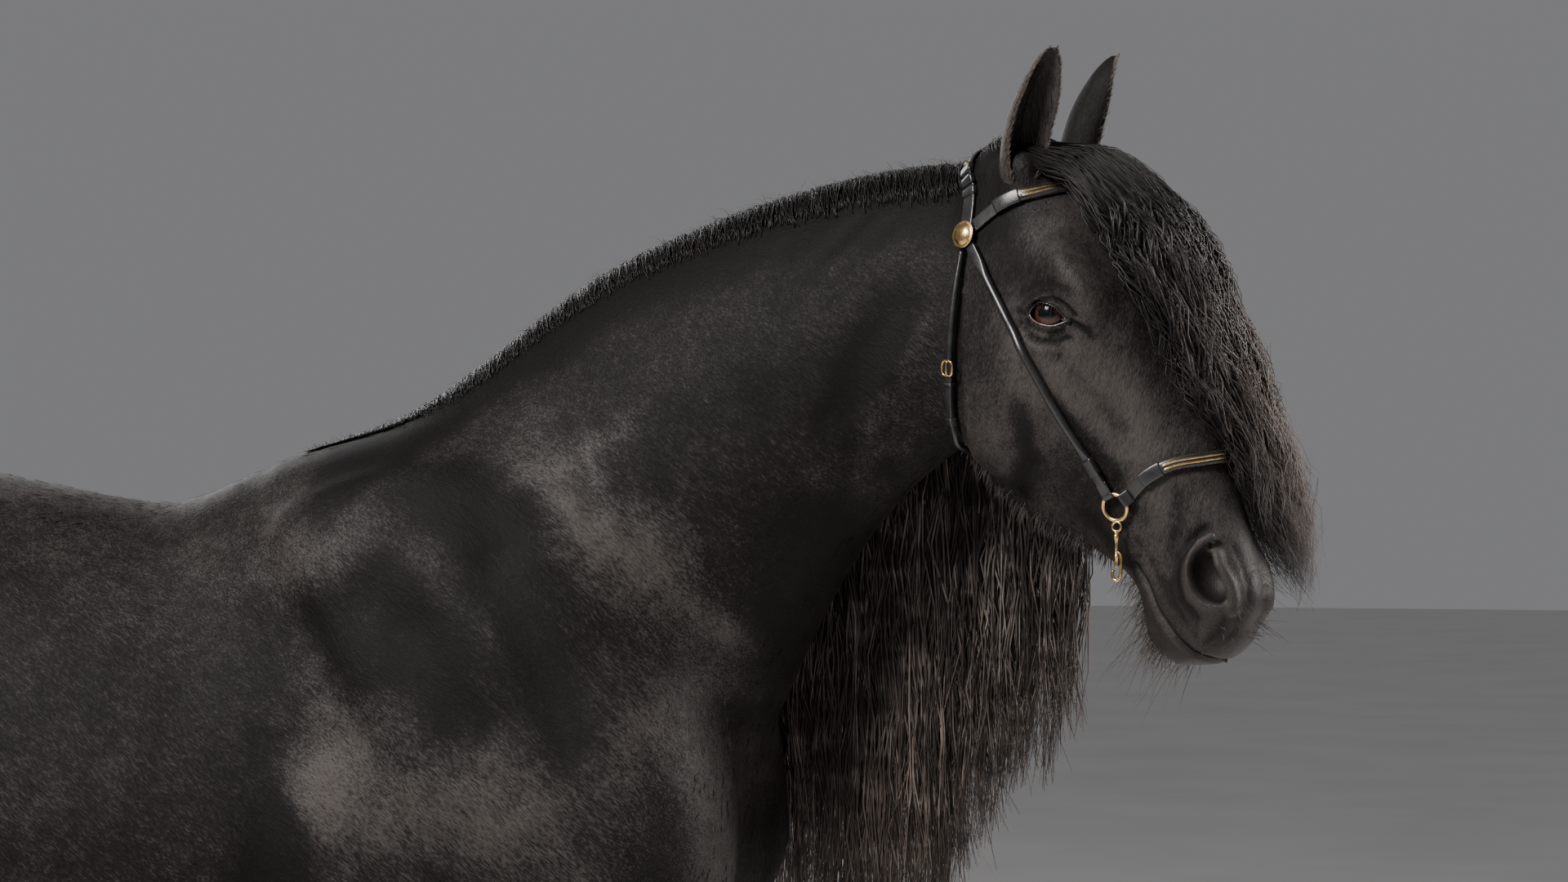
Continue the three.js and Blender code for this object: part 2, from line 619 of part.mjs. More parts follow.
// Where the middle of a leg lies at a level
const legMiddle = (z, fore) => {
  const rows = fore ? foreLegSections : hindLegSections;
  const i = clamp(rows.filter((row) => row[0] > z).length, 1, rows.length - 1);
  const [a, b] = [rows[i - 1], rows[i]];
  return mix(a[1], b[1], (z - a[0]) / (b[0] - a[0]));
};
const hoofPlan = (x0, rear, front, half, n = 16) =>
  Array.from({ length: n }, (_, i) => {
    const a = (i / n) * 2 * Math.PI;
    const c = Math.cos(a);
    return [x0 + (c > 0 ? front * c : rear * Math.sign(c) * Math.abs(c) ** 0.75), half * Math.sin(a)];
  });
for (const [end, side, sign, foot, offset] of legs) {
  const fore = end === "fore";
  const q0 = foot.q + offset;
  const box = fore
    ? [[20, sign < 0 ? -270 : 30, 20], [440, sign < 0 ? -30 : 270, 950]]
    : [[-1260, sign < 0 ? -300 : 18, 20], [-640, sign < 0 ? -18 : 300, 1080]];
  const limb = await meshed(body, ...box, fore ? 24 : 26, fore ? triangles.foreLeg : triangles.hindLeg);
  const mid = fore ? cuts.knee : cuts.hock;
  const top = fore ? cuts.elbow : cuts.flank;
  const coronet = [[q0 - hoof.topRear, hoof.heel], [q0 + hoof.topFront, hoof.toe]];
  pieces.push([`${end}_leg_upper_${side}`, all(limb, behind(...mid), behind(...flip(top))), "coat"]);
  // The trunk gives up what lies under the leg's top cut, inside a column around the leg
  const column = new THREE.BoxGeometry(800, 300, 600);
  column.translate(mix(top[0][0], top[1][0], 0.5) + originBehind, sign * (fore ? 179.6 : 167.6), 830);
  legCutters.push(fromGeometry(column).intersect(behind(...top)));
  pieces.push([`${end}_leg_lower_${side}`, all(limb, behind(...flip(mid)), behind(...coronet)), "coat"]);
  // The hoof slopes from a wider flat sole to the coronet
  const sole = hoofPlan(q0, hoof.rear, hoof.front, hoof.half);
  const topMiddle = q0 + (hoof.topFront - hoof.topRear) / 2;
  const topHalf = (hoof.topFront + hoof.topRear) / 2;
  const crown = hoofPlan(topMiddle, topHalf, topHalf, hoof.topHalf);
  const rings = [0, 0.35, 1].map((t) =>
    sole.map(([q, v], i) => {
      const rise = mix(hoof.heel, hoof.toe, (crown[i][0] - q0 + hoof.topRear) / (2 * topHalf)) + 3;
      const bulge = 1 + 0.1 * t * (1 - t);
      return [mix(q, crown[i][0], t), sign * foot.v + mix(v, crown[i][1], t) * bulge, rise * t];
    }),
  );
  const hoofSolid = placed(ringSolid(rings)).subtract(behind(...flip(coronet)));
  pieces.push([`hoof_${end}_${side}`, hoofSolid, "hoof"]);
  // The feather is a skirt of hair: one closed profile for each direction around the pastern
  const skirt = Array.from({ length: 9 }, (_, i) => {
    const turn = (i / 9) * 2 * Math.PI;
    const [c, d] = [Math.cos(turn), Math.sin(turn)];
    const drop = mix(1, 0.72, ramp(c, -0.2, 0.9)); // it ends higher in front
    const sides = featherSlices.map(([z0, dq, , a, b]) => {
      const z = mix(featherSlices[0][0], z0, drop) * (fore ? 1 : 1.04);
      const middle = legMiddle(z, fore) + offset * lean(z);
      const low = ramp(z, 112, 72);
      const from = mix(middle, q0 - 4, low);
      const overHoof = Math.hypot((hoof.front - 8) * c, (hoof.half + 2) * d);
      const skin = reachOf(body, [middle, sign * foot.v, Math.max(z, 80)], [c, d, 0], 90);
      const inside = mix(skin, overHoof, low);
      const hairMiddle = (fore ? 168 : -1060) + dq + offset * lean(z);
      const wide = 1 / Math.hypot(c / a, d / b) + (hairMiddle - from) * c;
      const thin = inside + 2 * hairRoom + 4;
      const outside = Math.max(thin, mix(wide, thin + 3, ramp(c, -0.1, 0.8)));
      return [inside + 2 * hairRoom, outside].map((r) => [from + r * c, sign * foot.v + r * d, z]);
    });
    return [...sides.map((pair) => pair[1]), ...sides.map((pair) => pair[0]).reverse()];
  });
  const worn = all(placed(ringSolid(skirt, true)), inflated(limb, 2 * gap), inflated(hoofSolid, 2 * gap));
  pieces.push([`feather_${end}_${side}`, largest(worn), "hair"]);
  skins.push(inflated(limb, 2 * gap));
}

const skull = all(headSolid, eyes[0].socket, eyes[1].socket, ahead(cuts.poll));
pieces.push(["head", skull, "coat"]);
pieces.push(["neck", all(torsoSolid, beyond(cuts.poll), ahead(cuts.withers)), "coat"]);
pieces.push(["trunk", all(torsoSolid, beyond(cuts.withers), ...legCutters), "coat"]);
skins.push(inflated(headSolid, 2 * gap), inflated(torsoSolid, 2 * gap));
pieces.push(["eye_right", eyes[0].solid, "eye"], ["eye_left", eyes[1].solid, "eye"]);

// ---- Ears: a cup of skin, open outwards ----
const ear = (q, v, z) => carved(slices(earSlices)(q, v, z), slices(earHollow)(q, v, z), 4);
for (const [side, sign, shift] of [["right", -1, { q: 0, v: 0, z: 0 }], ["left", 1, farEarShift]]) {
  const own = (q, v, z) => ear(q - shift.q, sign * v - shift.v, z - shift.z);
  const low = [820, sign < 0 ? -115 : 20, 1870];
  const high = [970, sign < 0 ? -20 : 125, 2070];
  const shape = await meshed(own, low, high, 7, triangles.ear);
  pieces.push([`ear_${side}`, largest(all(shape, skins.at(-2))), "coat"]);
}

// ---- Bridle: straps swept along paths that lie on the head ----
const mirrored = (points) => points.map(([u, w, v]) => [u, w, -v]);
const both = (points) => [...points, ...mirrored(points.slice(0, -1).reverse())];
// The path's points, laid on the skin at a height above it, evenly spaced along a smooth curve
function onSkin(points, lift, count) {
  const lay = (p) => settle(body, p, 12, lift, 10);
  const seeds = points.map(([u, w, v]) => {
    const [q, z] = face(u, w);
    return new THREE.Vector3(...lay([q, v, z]));
  });
  return new THREE.CatmullRomCurve3(seeds).getSpacedPoints(count).map((p) => lay(p.toArray()));
}
// A strap with its flat side on the skin: a profile of [across, outward] points carried along the path
function sweep(path, profile) {
  const at = path.map((p) => new THREE.Vector3(...p));
  return ringSolid(
    at.map((p, i) => {
      const along = at[Math.min(i + 1, at.length - 1)].clone().sub(at[Math.max(i - 1, 0)]).normalize();
      const out = new THREE.Vector3(...slopeOf(body, p.toArray()));
      out.addScaledVector(along, -out.dot(along)).normalize();
      const across = along.clone().cross(out);
      return profile.map(([x, y]) =>
        p.clone().addScaledVector(across, x).addScaledVector(out, y).toArray(),
      );
    }),
  );
}
const flat = (wide, thick) => [
  [-wide / 2, -thick / 2], [wide / 2, -thick / 2], [wide / 2, thick / 2], [-wide / 2, thick / 2],
];
const round = (d, n = 6) =>
  Array.from({ length: n }, (_, i) => {
    const turn = (i / n) * 2 * Math.PI;
    return [(Math.cos(turn) * d) / 2, (Math.sin(turn) * d) / 2];
  });

const paths = {
  headpiece: both([[66, -103, -95], [27, -94, -88], [-8, -89, -60], [-20, -84, -30], [-23, -82, 0]]),
  browband: both([
    [71, -92, -97], [66, -54, -94], [66, -25, -88], [69, 2, -74], [73, 24, -44], [74, 34, 0],
  ]),
  noseband: both([[427, -36, -64], [414, -6, -60], [410, 26, -54], [415, 54, -34], [418, 62, 0]]),
  cheekpiece: [[95, -99, -98], [160, -84, -104], [239, -68, -104], [330, -59, -80], [407, -53, -66]],
  throatlatch: both([
    [94, -114, -98], [150, -143, -97], [213, -176, -92], [262, -202, -84], [290, -218, -72],
    [306, -231, -40], [308, -240, 0],
  ]),
};
const straps = [];
const addStrap = (name, shape, material) => {
  const cut = all(placed(shape), ...straps, ...skins);
  straps.push(inflated(cut, gap));
  pieces.push([name, largest(cut), material]);
};
const skinLift = (thick) => thick / 2 + 2;
const bandPath = (name, thick, count) => onSkin(paths[name], skinLift(thick), count);
const headpiece = sweep(bandPath("headpiece", strap.thick, 14), flat(strap.flat, strap.thick));
addStrap("headpiece", headpiece, "leather");
for (const [name, count] of [["browband", 16], ["noseband", 14]]) {
  const path = bandPath(name, strap.bandThick, count);
  addStrap(name, sweep(path, flat(strap.band, strap.bandThick)), "leather");
  const rise = (strap.bandThick + trimSize.thick) / 2 + 3 * gap;
  const trim = flat(trimSize.wide, trimSize.thick).map(([x, y]) => [x, y + rise]);
  addStrap(`${name}_trim`, sweep(path.slice(4, -4), trim), "brass");
}
for (const side of ["right", "left"]) {
  const points = side === "right" ? paths.cheekpiece : mirrored(paths.cheekpiece);
  const cheek = onSkin(points, skinLift(strap.rolled), 9);
  addStrap(`cheekpiece_${side}`, sweep(cheek, round(strap.rolled)), "leather");
}
const throat = sweep(bandPath("throatlatch", strap.throatThick, 22), flat(strap.throat, strap.throatThick));
addStrap("throatlatch", throat, "leather");

// A round part set on the skin at (u, w) with its axis along the skin's normal
function setOn(geometry, [u, w, v], lift) {
  const [q, z] = face(u, w);
  const p = settle(body, [q, v, z], 12, lift, 10);
  const out = new THREE.Vector3(...slopeOf(body, p)).normalize();
  const turn = new THREE.Quaternion().setFromUnitVectors(new THREE.Vector3(0, 1, 0), out);
  geometry.applyQuaternion(turn).translate(...p);
  return fromGeometry(geometry);
}
for (const [side, sign] of [["right", -1], ["left", 1]]) {
  const { radius, rise } = rosette;
  const dome = [[0, 0], [radius, 0], [radius, 1.6], [radius * 0.7, rise * 0.85], [0, rise + 0.6]];
  const lathe = new THREE.LatheGeometry(dome.map(([x, y]) => new THREE.Vector2(x, y)), 14);
  const [ru, rw, rv] = rosette.at;
  addStrap(`rosette_${side}`, setOn(lathe, [ru, rw, sign * rv], rosette.lift), "brass");
  const torus = new THREE.TorusGeometry(ring.radius, ring.wire, 4, 14).rotateX(Math.PI / 2);
  const [u, w, v] = ring.at;
  addStrap(`bit_ring_${side}`, setOn(torus, [u, w, sign * v], ring.lift), "brass");
  // The snap hangs straight down from the ring
  const [q, z] = face(u, w);
  const [at, out] = settle(body, [q, sign * v, z - 18], 12, 8, 10);
  const hook = [
    [0, 0], [4.4, 4], [4.4, 11], [3, 15], [5, 36], [3.4, 41], [6, 52], [3, 64], [0, snapLength],
  ];
  const snap = new THREE.LatheGeometry(hook.map(([x, y]) => new THREE.Vector2(x, y)), 6);
  const top = z - ring.radius - ring.wire - 1;
  snap.rotateX(Math.PI / 2).translate(at, out, top - snapLength);
  addStrap(`snap_${side}`, fromGeometry(snap), "brass");
}
const buckleFrame = new THREE.TorusGeometry(buckle.radius, buckle.wire, 4, 10).rotateX(Math.PI / 2);
addStrap("throatlatch_buckle", setOn(buckleFrame, buckle.at, buckle.lift), "brass");

// ---- Long hair ----
const ears = pieces
  .filter(([name]) => name.startsWith("ear_"))
  .map(([, shape]) => inflated(shape, 2 * gap));
const clear = (shape) => largest(all(shape, ...skins, ...straps, ...ears));

// The forelock: for each section down the face, an outer arc and an inner line that keeps off the skin
const forelockRings = forelockSections.map(([u, w, v, thick, half]) => {
  const arc = [-1, -0.8, -0.45, 0, 0.45, 0.8, 1].map((s) => {
    const [q0, z0] = face(u, -40);
    const side = v + half * s;
    const [up, ahead] = [Math.cos(headPitch * rad), Math.sin(headPitch * rad)];
    const skin = reachOf(body, [q0, side, z0], [ahead, 0, up], 190) - 40 + 2 * hairRoom;
    const bulge = thick * Math.sqrt(1 - s * s);
    const low = Math.max(skin, w - bulge);
    const high = Math.max(low + 3, w + bulge);
    return [[...face(u, high)], [...face(u, low)]].map(([q, z]) => [q, side, z]);
  });
  return [...arc.map((pair) => pair[0]), ...arc.map((pair) => pair[1]).reverse()];
});
const forelockSolid = clear(placed(ringSolid(forelockRings)));
pieces.push(["forelock", forelockSolid, "hair"]);

// The mane: from a little right of the crest it lies over the left side and hangs straight down from
// the widest level. Each ring is the outline of a cut across the neck.
const hem = (q) => {
  const i = clamp(maneHem.findIndex(([x]) => x >= q), 1, maneHem.length - 1);
  const [a, b] = [maneHem[i - 1], maneHem[i]];
  return mix(a[1], b[1], (q - a[0]) / (b[0] - a[0]));
};
const innerLevel = 1250; // a level that lies inside the neck all along the crest
const crestRadius = 75; // the crest is turned about a line this far below it
const maneRings = Array.from({ length: 13 }, (_, i) => {
  const q = mix(-85, 848, i / 12);
  const room = 15;
  const crest = innerLevel + reachOf(body, [q, 0, innerLevel], [0, 0, 1], 760);
  const centre = crest - crestRadius;
  const over = [-20, 6, 32, 60].map((turn, step) => {
    const [c, s] = [Math.cos(turn * rad), Math.sin(turn * rad)];
    const skin = reachOf(body, [q, 0, centre], [0, s, c], 260);
    const thick = [9, 12, 17, 23][step];
    return [skin + room + thick, skin + room - 3].map((r) => [q, r * s, centre + r * c]);
  });
  let hang = over[3][1][1];
  const drape = [0.2, 0.34, 0.52, 0.75, 1].map((drop) => {
    const z = mix(centre, Math.min(hem(q), centre - 40), (drop - 0.12) / 0.88);
    const isInside = body(q, 20, z) < 0;
    const skin = isInside ? reachOf(body, [q, 20, z], [0, 1, 0], 400) + 30 + room : -60;
    hang = Math.max(hang, skin);
    const thick = drop === 1 ? 14 : 26;
    return [hang + thick, Math.max(skin, hang - 34)].map((v) => [q, v, z]);
  });
  const pairs = [...over, ...drape];
  return [...pairs.map((pair) => pair[0]), ...pairs.map((pair) => pair[1]).reverse()];
});
const maneSolid = all(clear(placed(ringSolid(maneRings))), inflated(forelockSolid, 2 * gap));
pieces.push(["mane", largest(maneSolid), "hair"]);

const tailRings = tailSlices.map(([z, q, , a, b]) =>
  Array.from({ length: 10 }, (_, i) => {
    const turn = (i / 10) * 2 * Math.PI;
    return [q + a * Math.cos(turn), b * Math.sin(turn), z];
  }),
);
pieces.push(["tail", clear(placed(ringSolid(tailRings))), "hair"]);

// ---- The finished group ----
const looks = {
  coat: { color: 0x17130f, roughness: 0.55, metalness: 0 },
  hair: { color: 0x14100e, roughness: 0.5, metalness: 0 },
  hoof: { color: 0x1d1a17, roughness: 0.45, metalness: 0 },
  eye: { color: 0x1a0d08, roughness: 0.08, metalness: 0 },
  leather: { color: 0x0c0b0b, roughness: 0.35, metalness: 0 },
  brass: { color: 0xb8935a, roughness: 0.3, metalness: 1 },
};
const horse = new THREE.Group();
for (const [name, shape, material] of pieces) {
  const { vertProperties, triVerts } = shape.getMesh();
  const geometry = new THREE.BufferGeometry();
  geometry.setAttribute("position", new THREE.BufferAttribute(vertProperties, 3));
  geometry.setIndex(new THREE.BufferAttribute(triVerts, 1));
  geometry.computeVertexNormals();
  const mesh = new THREE.Mesh(geometry, new THREE.MeshStandardMaterial(looks[material]));
  mesh.name = name;
  horse.add(mesh);
}
export default horse;
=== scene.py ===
import bpy
import numpy as np
from math import radians, pi
from numpy import sin, cos, linspace, interp, clip, concatenate, maximum, minimum, hypot
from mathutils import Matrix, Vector


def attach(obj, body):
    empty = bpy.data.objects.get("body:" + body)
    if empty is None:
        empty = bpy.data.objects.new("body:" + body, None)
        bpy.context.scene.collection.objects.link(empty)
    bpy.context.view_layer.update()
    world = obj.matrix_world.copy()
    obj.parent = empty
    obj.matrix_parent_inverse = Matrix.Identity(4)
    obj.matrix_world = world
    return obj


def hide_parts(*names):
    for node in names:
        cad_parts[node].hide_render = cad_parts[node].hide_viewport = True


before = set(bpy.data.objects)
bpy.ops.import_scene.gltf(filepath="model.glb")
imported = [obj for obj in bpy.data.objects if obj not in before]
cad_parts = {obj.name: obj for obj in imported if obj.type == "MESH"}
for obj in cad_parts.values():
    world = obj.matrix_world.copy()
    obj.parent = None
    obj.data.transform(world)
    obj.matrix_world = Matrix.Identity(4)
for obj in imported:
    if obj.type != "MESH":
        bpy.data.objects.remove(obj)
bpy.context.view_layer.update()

mm = 0.001
rng = np.random.default_rng(1632)

# Lengths are millimetres in the horse's own straight space: q forwards from the withers, v to its
# left, z up from the floor. bendNeck turns the neck to the right and moves all to the frame.
pose = {
    "originBehind": 77.4, "bendStart": 150, "bendEnd": 850, "bendAngle": 20,
    "poll": (870, 1950), "headPitch": 68.3,
    "strideTop": 760, "stride": {"foreRight": 45, "foreLeft": -30, "hindRight": 55, "hindLeft": -55},
    "foreHoof": (279, 128), "hindHoof": (-957, 140),
}
coatDepth = {"body": 4.0, "face": 1.5}  # the skin lies this far inside the coat's tips

# q, top, bottom, widest level, half-width, power above, power below
trunkRows = [
    (378, 1395, 972, 1150, 205, 2.0, 2.1), (250, 1500, 862, 1140, 236, 1.8, 2.1),
    (60, 1566, 798, 1130, 254, 1.5, 2.1), (-100, 1566, 775, 1130, 284, 1.45, 2.1),
    (-240, 1530, 766, 1140, 314, 1.7, 2.1), (-470, 1564, 768, 1150, 338, 2.0, 2.1),
    (-680, 1605, 818, 1200, 328, 2.1, 2.1), (-840, 1622, 905, 1270, 302, 2.2, 2.1),
    (-990, 1596, 1010, 1300, 270, 2.2, 2.0), (-1105, 1520, 1110, 1310, 205, 2.1, 2.0),
]
# crest q and z, throat q and z, half-width, widest level as a share from throat to crest
neckRows = [
    (-70, 1545, 310, 985, 225, 0.42), (28, 1602, 430, 1085, 205, 0.42), (130, 1682, 482, 1222, 176, 0.42),
    (290, 1798, 543, 1340, 146, 0.43), (450, 1866, 607, 1455, 122, 0.44), (600, 1906, 680, 1540, 103, 0.45),
    (735, 1922, 745, 1590, 90, 0.47), (850, 1912, 835, 1650, 80, 0.5),
]
# u from poll to lips, forehead line, jaw line, widest level, half-width, power above, power below
headRows = [
    (26, -4, -118, -50, 72, 2.2, 2.2), (90, 40, -165, -45, 88, 2.2, 2.2),
    (155, 62, -200, -35, 99, 2.3, 2.1), (212, 68, -214, -38, 103, 2.5, 2.0),
    (285, 66, -221, -52, 92, 2.4, 2.0), (345, 63, -207, -45, 76, 2.3, 2.0),
    (400, 62, -172, -25, 64, 2.2, 2.0), (455, 60, -120, -10, 55, 2.1, 2.0),
    (505, 56, -86, -4, 53, 2.1, 2.2), (548, 48, -84, -6, 58, 2.1, 2.2),
    (585, 33, -80, -14, 55, 2.1, 2.2), (606, 16, -66, -22, 45, 2.1, 2.2),
]
# z, q, v, tilt of the front, front, rear, half-width
foreLegRows = [
    (1110, 255, 158, 0, 165, 165, 76), (960, 190, 146, 0, 112, 118, 84), (850, 176, 138, 0, 92, 92, 74),
    (700, 174, 131, 0, 68, 66, 57), (570, 174, 128, 0, 51, 48, 45), (500, 178, 127, 0, 52, 45, 51),
    (445, 178, 127, 0, 50, 46, 52), (395, 171, 127, 0, 38, 46, 43), (325, 168, 127, 0, 32, 44, 33),
    (265, 168, 127, 0, 34, 47, 34), (225, 173, 127, 8, 43, 50, 44), (180, 194, 127, 28, 37, 37, 37),
    (120, 230, 128, 28, 42, 42, 43), (80, 251, 128, 12, 53, 57, 58), (34, 262, 128, 12, 53, 57, 58),
]
hindLegRows = [
    (1250, -885, 150, 0, 215, 225, 112), (1100, -885, 158, 0, 205, 222, 116),
    (985, -868, 158, -8, 168, 195, 106), (860, -905, 150, -25, 122, 128, 86),
    (740, -972, 146, -33, 82, 84, 62), (650, -1034, 143, -30, 60, 62, 49),
    (590, -1068, 142, -15, 62, 52, 48), (535, -1080, 141, 0, 54, 46, 46),
    (470, -1082, 140, 0, 39, 46, 37), (350, -1076, 140, 0, 33, 46, 33), (280, -1073, 140, 0, 35, 48, 35),
    (232, -1066, 140, 8, 45, 51, 45), (182, -1046, 140, 26, 38, 38, 37),
    (122, -1010, 140, 26, 43, 43, 43), (80, -987, 140, 12, 53, 57, 58), (34, -976, 140, 12, 53, 57, 58),
]


# 0 before a, 1 after b, smooth between
def ease(x, a, b):
    t = clip((np.asarray(x, float) - a) / (b - a), 0, 1)
    return t * t * (3 - 2 * t)


def mixed(a, b, t):
    return a + (b - a) * t


# numbers or arrays set side by side as points
def stacked(*parts):
    return np.stack(np.broadcast_arrays(*parts), -1)


def circleAngles(count):
    return linspace(0, 2 * pi, count, endpoint=False)


# straight space to the frame, in metres: past bendStart the points turn along an arc to the right
def bendNeck(p):
    turn = radians(pose["bendAngle"])
    radius = (pose["bendEnd"] - pose["bendStart"]) / turn
    q, v, z = p[..., 0], p[..., 1], p[..., 2]
    angle = clip((q - pose["bendStart"]) / radius, 0, turn)
    rest = minimum(q - pose["bendStart"], 0) + maximum(q - pose["bendEnd"], 0)
    x = pose["bendStart"] + (radius + v) * sin(angle) + rest * cos(angle) + pose["originBehind"]
    y = -radius + (radius + v) * cos(angle) - rest * sin(angle)
    return stacked(x, y, z) * mm


headCos, headSin = cos(radians(pose["headPitch"])), sin(radians(pose["headPitch"]))


# head frame to straight space: u runs from the poll to the lips, w towards the front of the face
def face(u, w):
    return pose["poll"][0] + u * headCos + w * headSin, pose["poll"][1] - u * headSin + w * headCos


def toFace(q, z):
    dq, dz = q - pose["poll"][0], z - pose["poll"][1]
    return dq * headCos - dz * headSin, dq * headSin + dz * headCos


# points (u, w, v) of the face as points (q, v, z)
def onFace(points):
    u, w, v = np.asarray(points, float).T
    q, z = face(u, w)
    return stacked(q, v, z)


# rows of numbers blended by a Catmull-Rom curve, perSpan steps from each row to the next
def rowsAlong(rows, perSpan):
    rows = np.array(rows, float)
    t = np.arange((len(rows) - 1) * perSpan + 1) / perSpan
    i = minimum(t.astype(int), len(rows) - 2)
    f = (t - i)[:, None]
    a, b, d, e = (rows[clip(i + k, 0, len(rows) - 1)] for k in (-1, 0, 1, 2))
    s0, s1 = (d - a) / 2, (e - b) / 2
    return b + f * s0 + f * f * (3 * (d - b) - 2 * s0 - s1) + f ** 3 * (2 * (b - d) + s0 + s1)


# a smooth curve through points, as count points evenly spaced along it
def smoothCurve(points, count):
    dense = rowsAlong(points, 16)
    at = concatenate([[0], np.cumsum(np.linalg.norm(np.diff(dense, axis=0), axis=1))])
    even = linspace(0, at[-1], count)
    return stacked(*[interp(even, at, dense[:, k]) for k in range(dense.shape[1])])


farAway = 400.0
sideways = np.array([[0, 1.0, 0]])


# A field that is below 0 inside rounded-square ellipses set across a path in the q-z plane.
# Each section is q, z, v, tilt, upper size, lower size, half-width and the two powers of its outline.
def loft(sections, caps, perSpan=4):
    s = rowsAlong(sections, perSpan)
    eq, ez = cos(np.radians(s[:, 3])), sin(np.radians(s[:, 3]))
    back, front = s[maximum(np.arange(len(s)) - 1, 0)], s[minimum(np.arange(len(s)) + 1, len(s) - 1)]
    side = np.sign((front[:, 0] - back[:, 0]) * -ez + (front[:, 1] - back[:, 1]) * eq)
    tq, tz = -ez * side, eq * side
    s = np.column_stack([s, eq, ez])
    room = s[:, 4:7].max() + 170
    low, high = s[:, :3].min(0) - room, s[:, :3].max(0) + room
    small = [x.astype(np.float32) for x in (s[:, 0], s[:, 1], tq, tz)]

    def near(q, v, z):
        dq = q.astype(np.float32)[:, None] - small[0]
        dz = z.astype(np.float32)[:, None] - small[1]
        a, d = dq * small[2] + dz * small[3], dq * dq + dz * dz
        cost = np.full((len(q), len(s) + 1), np.inf, np.float32)
        cost[:, 1:-1][(a[:, :-1] >= 0) & (a[:, 1:] < 0)] = d[:, 1:][(a[:, :-1] >= 0) & (a[:, 1:] < 0)]
        cost[:, 0] = np.where(a[:, 0] < 0, d[:, 0], np.inf)
        cost[:, -1] = np.where(a[:, -1] >= 0, d[:, -1], np.inf)
        k = cost.argmin(1)
        i = clip(k - 1, 0, len(s) - 2)
        row = np.arange(len(q))
        f = np.where(k == 0, 0.0, a[row, i] / np.where(k == 0, 1.0, a[row, i] - a[row, i + 1]))
        f = np.where(k == len(s), 1.0, f)
        over = maximum(np.where(k == 0, -a[:, 0], np.where(k == len(s), a[:, -1], 0.0)), 0)
        cap = np.where(k == len(s), caps[1], caps[0])
        m = s[i] + (s[i + 1] - s[i]) * f[:, None]
        up = (q - m[:, 0]) * m[:, 9] + (z - m[:, 1]) * m[:, 10]
        out = v - m[:, 2]
        size = np.where(up > 0, m[:, 4], m[:, 5])
        power = np.where(up > 0, m[:, 7], m[:, 8])
        kk = abs(out / m[:, 6]) ** power + abs(up / size) ** power + (over / cap) ** power
        reach = np.sqrt(up ** 2 + out ** 2 + over ** 2)
        inside = -minimum(size, m[:, 6])
        return np.where(reach < 1e-6, inside, reach * (1 - maximum(kk, 1e-12) ** (-1 / power)))

    def field(q, v, z):
        f = np.full(q.shape, farAway)
        ok = (q > low[0]) & (q < high[0]) & (z > low[1]) & (z < high[1]) & (abs(v) < high[2])
        if ok.any():
            f[ok] = near(q[ok], v[ok], z[ok])
        return f

    return field


# the field of an ellipsoid whose long axis is turned in the q-z plane
def mass(q, z, v, along, across, sideways, tilt=0):
    c, s = cos(radians(tilt)), sin(radians(tilt))

    def field(pq, pv, pz):
        x = ((pq - q) * c + (pz - z) * s) / along
        y = (-(pq - q) * s + (pz - z) * c) / across
        w = (pv - v) / sideways
        k = np.sqrt(x * x + y * y + w * w)
        k2 = np.sqrt((x / along) ** 2 + (y / across) ** 2 + (w / sideways) ** 2)
        return np.where(k2 < 1e-9, -min(along, across, sideways), k * (k - 1) / maximum(k2, 1e-9))

    return field


# the field of a round bar from ball a to ball b, each q, z, v and radius
def taper(a, b):
    a, b = np.array(a, float), np.array(b, float)
    d = (b - a)[:3]

    def field(q, v, z):
        t = ((q - a[0]) * d[0] + (z - a[1]) * d[1] + (v - a[2]) * d[2]) / (d @ d)
        t = clip(t, 0, 1)
        dist = np.sqrt((q - a[0] - t * d[0]) ** 2 + (z - a[1] - t * d[1]) ** 2 + (v - a[2] - t * d[2]) ** 2)
        return dist - mixed(a[3], b[3], t)

    return field


def joined(a, b, blend):
    h = maximum(blend - abs(a - b), 0) / blend
    return minimum(a, b) - h * h * blend / 4


def carved(a, b, blend):
    return -joined(-a, b, blend)


def faceMass(u, w, v, along, across, sideways, turn=0):
    return mass(*face(u, w), v, along, across, sideways, turn - pose["headPitch"])


def faceTaper(a, b):
    return taper((*face(a[0], a[1]), a[2], a[3]), (*face(b[0], b[1]), b[2], b[3]))


def neckSections():
    for kq, kz, tq, tz, h, share in neckRows:
        length, tilt = hypot(kq - tq, kz - tz), np.degrees(np.arctan2(kz - tz, kq - tq))
        yield (mixed(tq, kq, share), mixed(tz, kz, share), 0, tilt,
               length * (1 - share), length * share, h, 1.9, 2.1)


trunkLoft = loft([(q, mid, 0, 90, top - mid, mid - low, h, up, down)
                  for q, top, low, mid, h, up, down in trunkRows], (85, 75))
neckLoft = loft(list(neckSections()), (60, 40))
headLoft = loft([(*face(u, mid), 0, 90 - pose["headPitch"], top - mid, mid - low, h, up, down)
                 for u, top, low, mid, h, up, down in headRows], (45, 15))
foreLoft, hindLoft = (loft([(q, z, v, tilt, a, b, h, 2.1, 2.1) for z, q, v, tilt, a, b, h in rows], (60, 6))
                      for rows in (foreLegRows, hindLegRows))
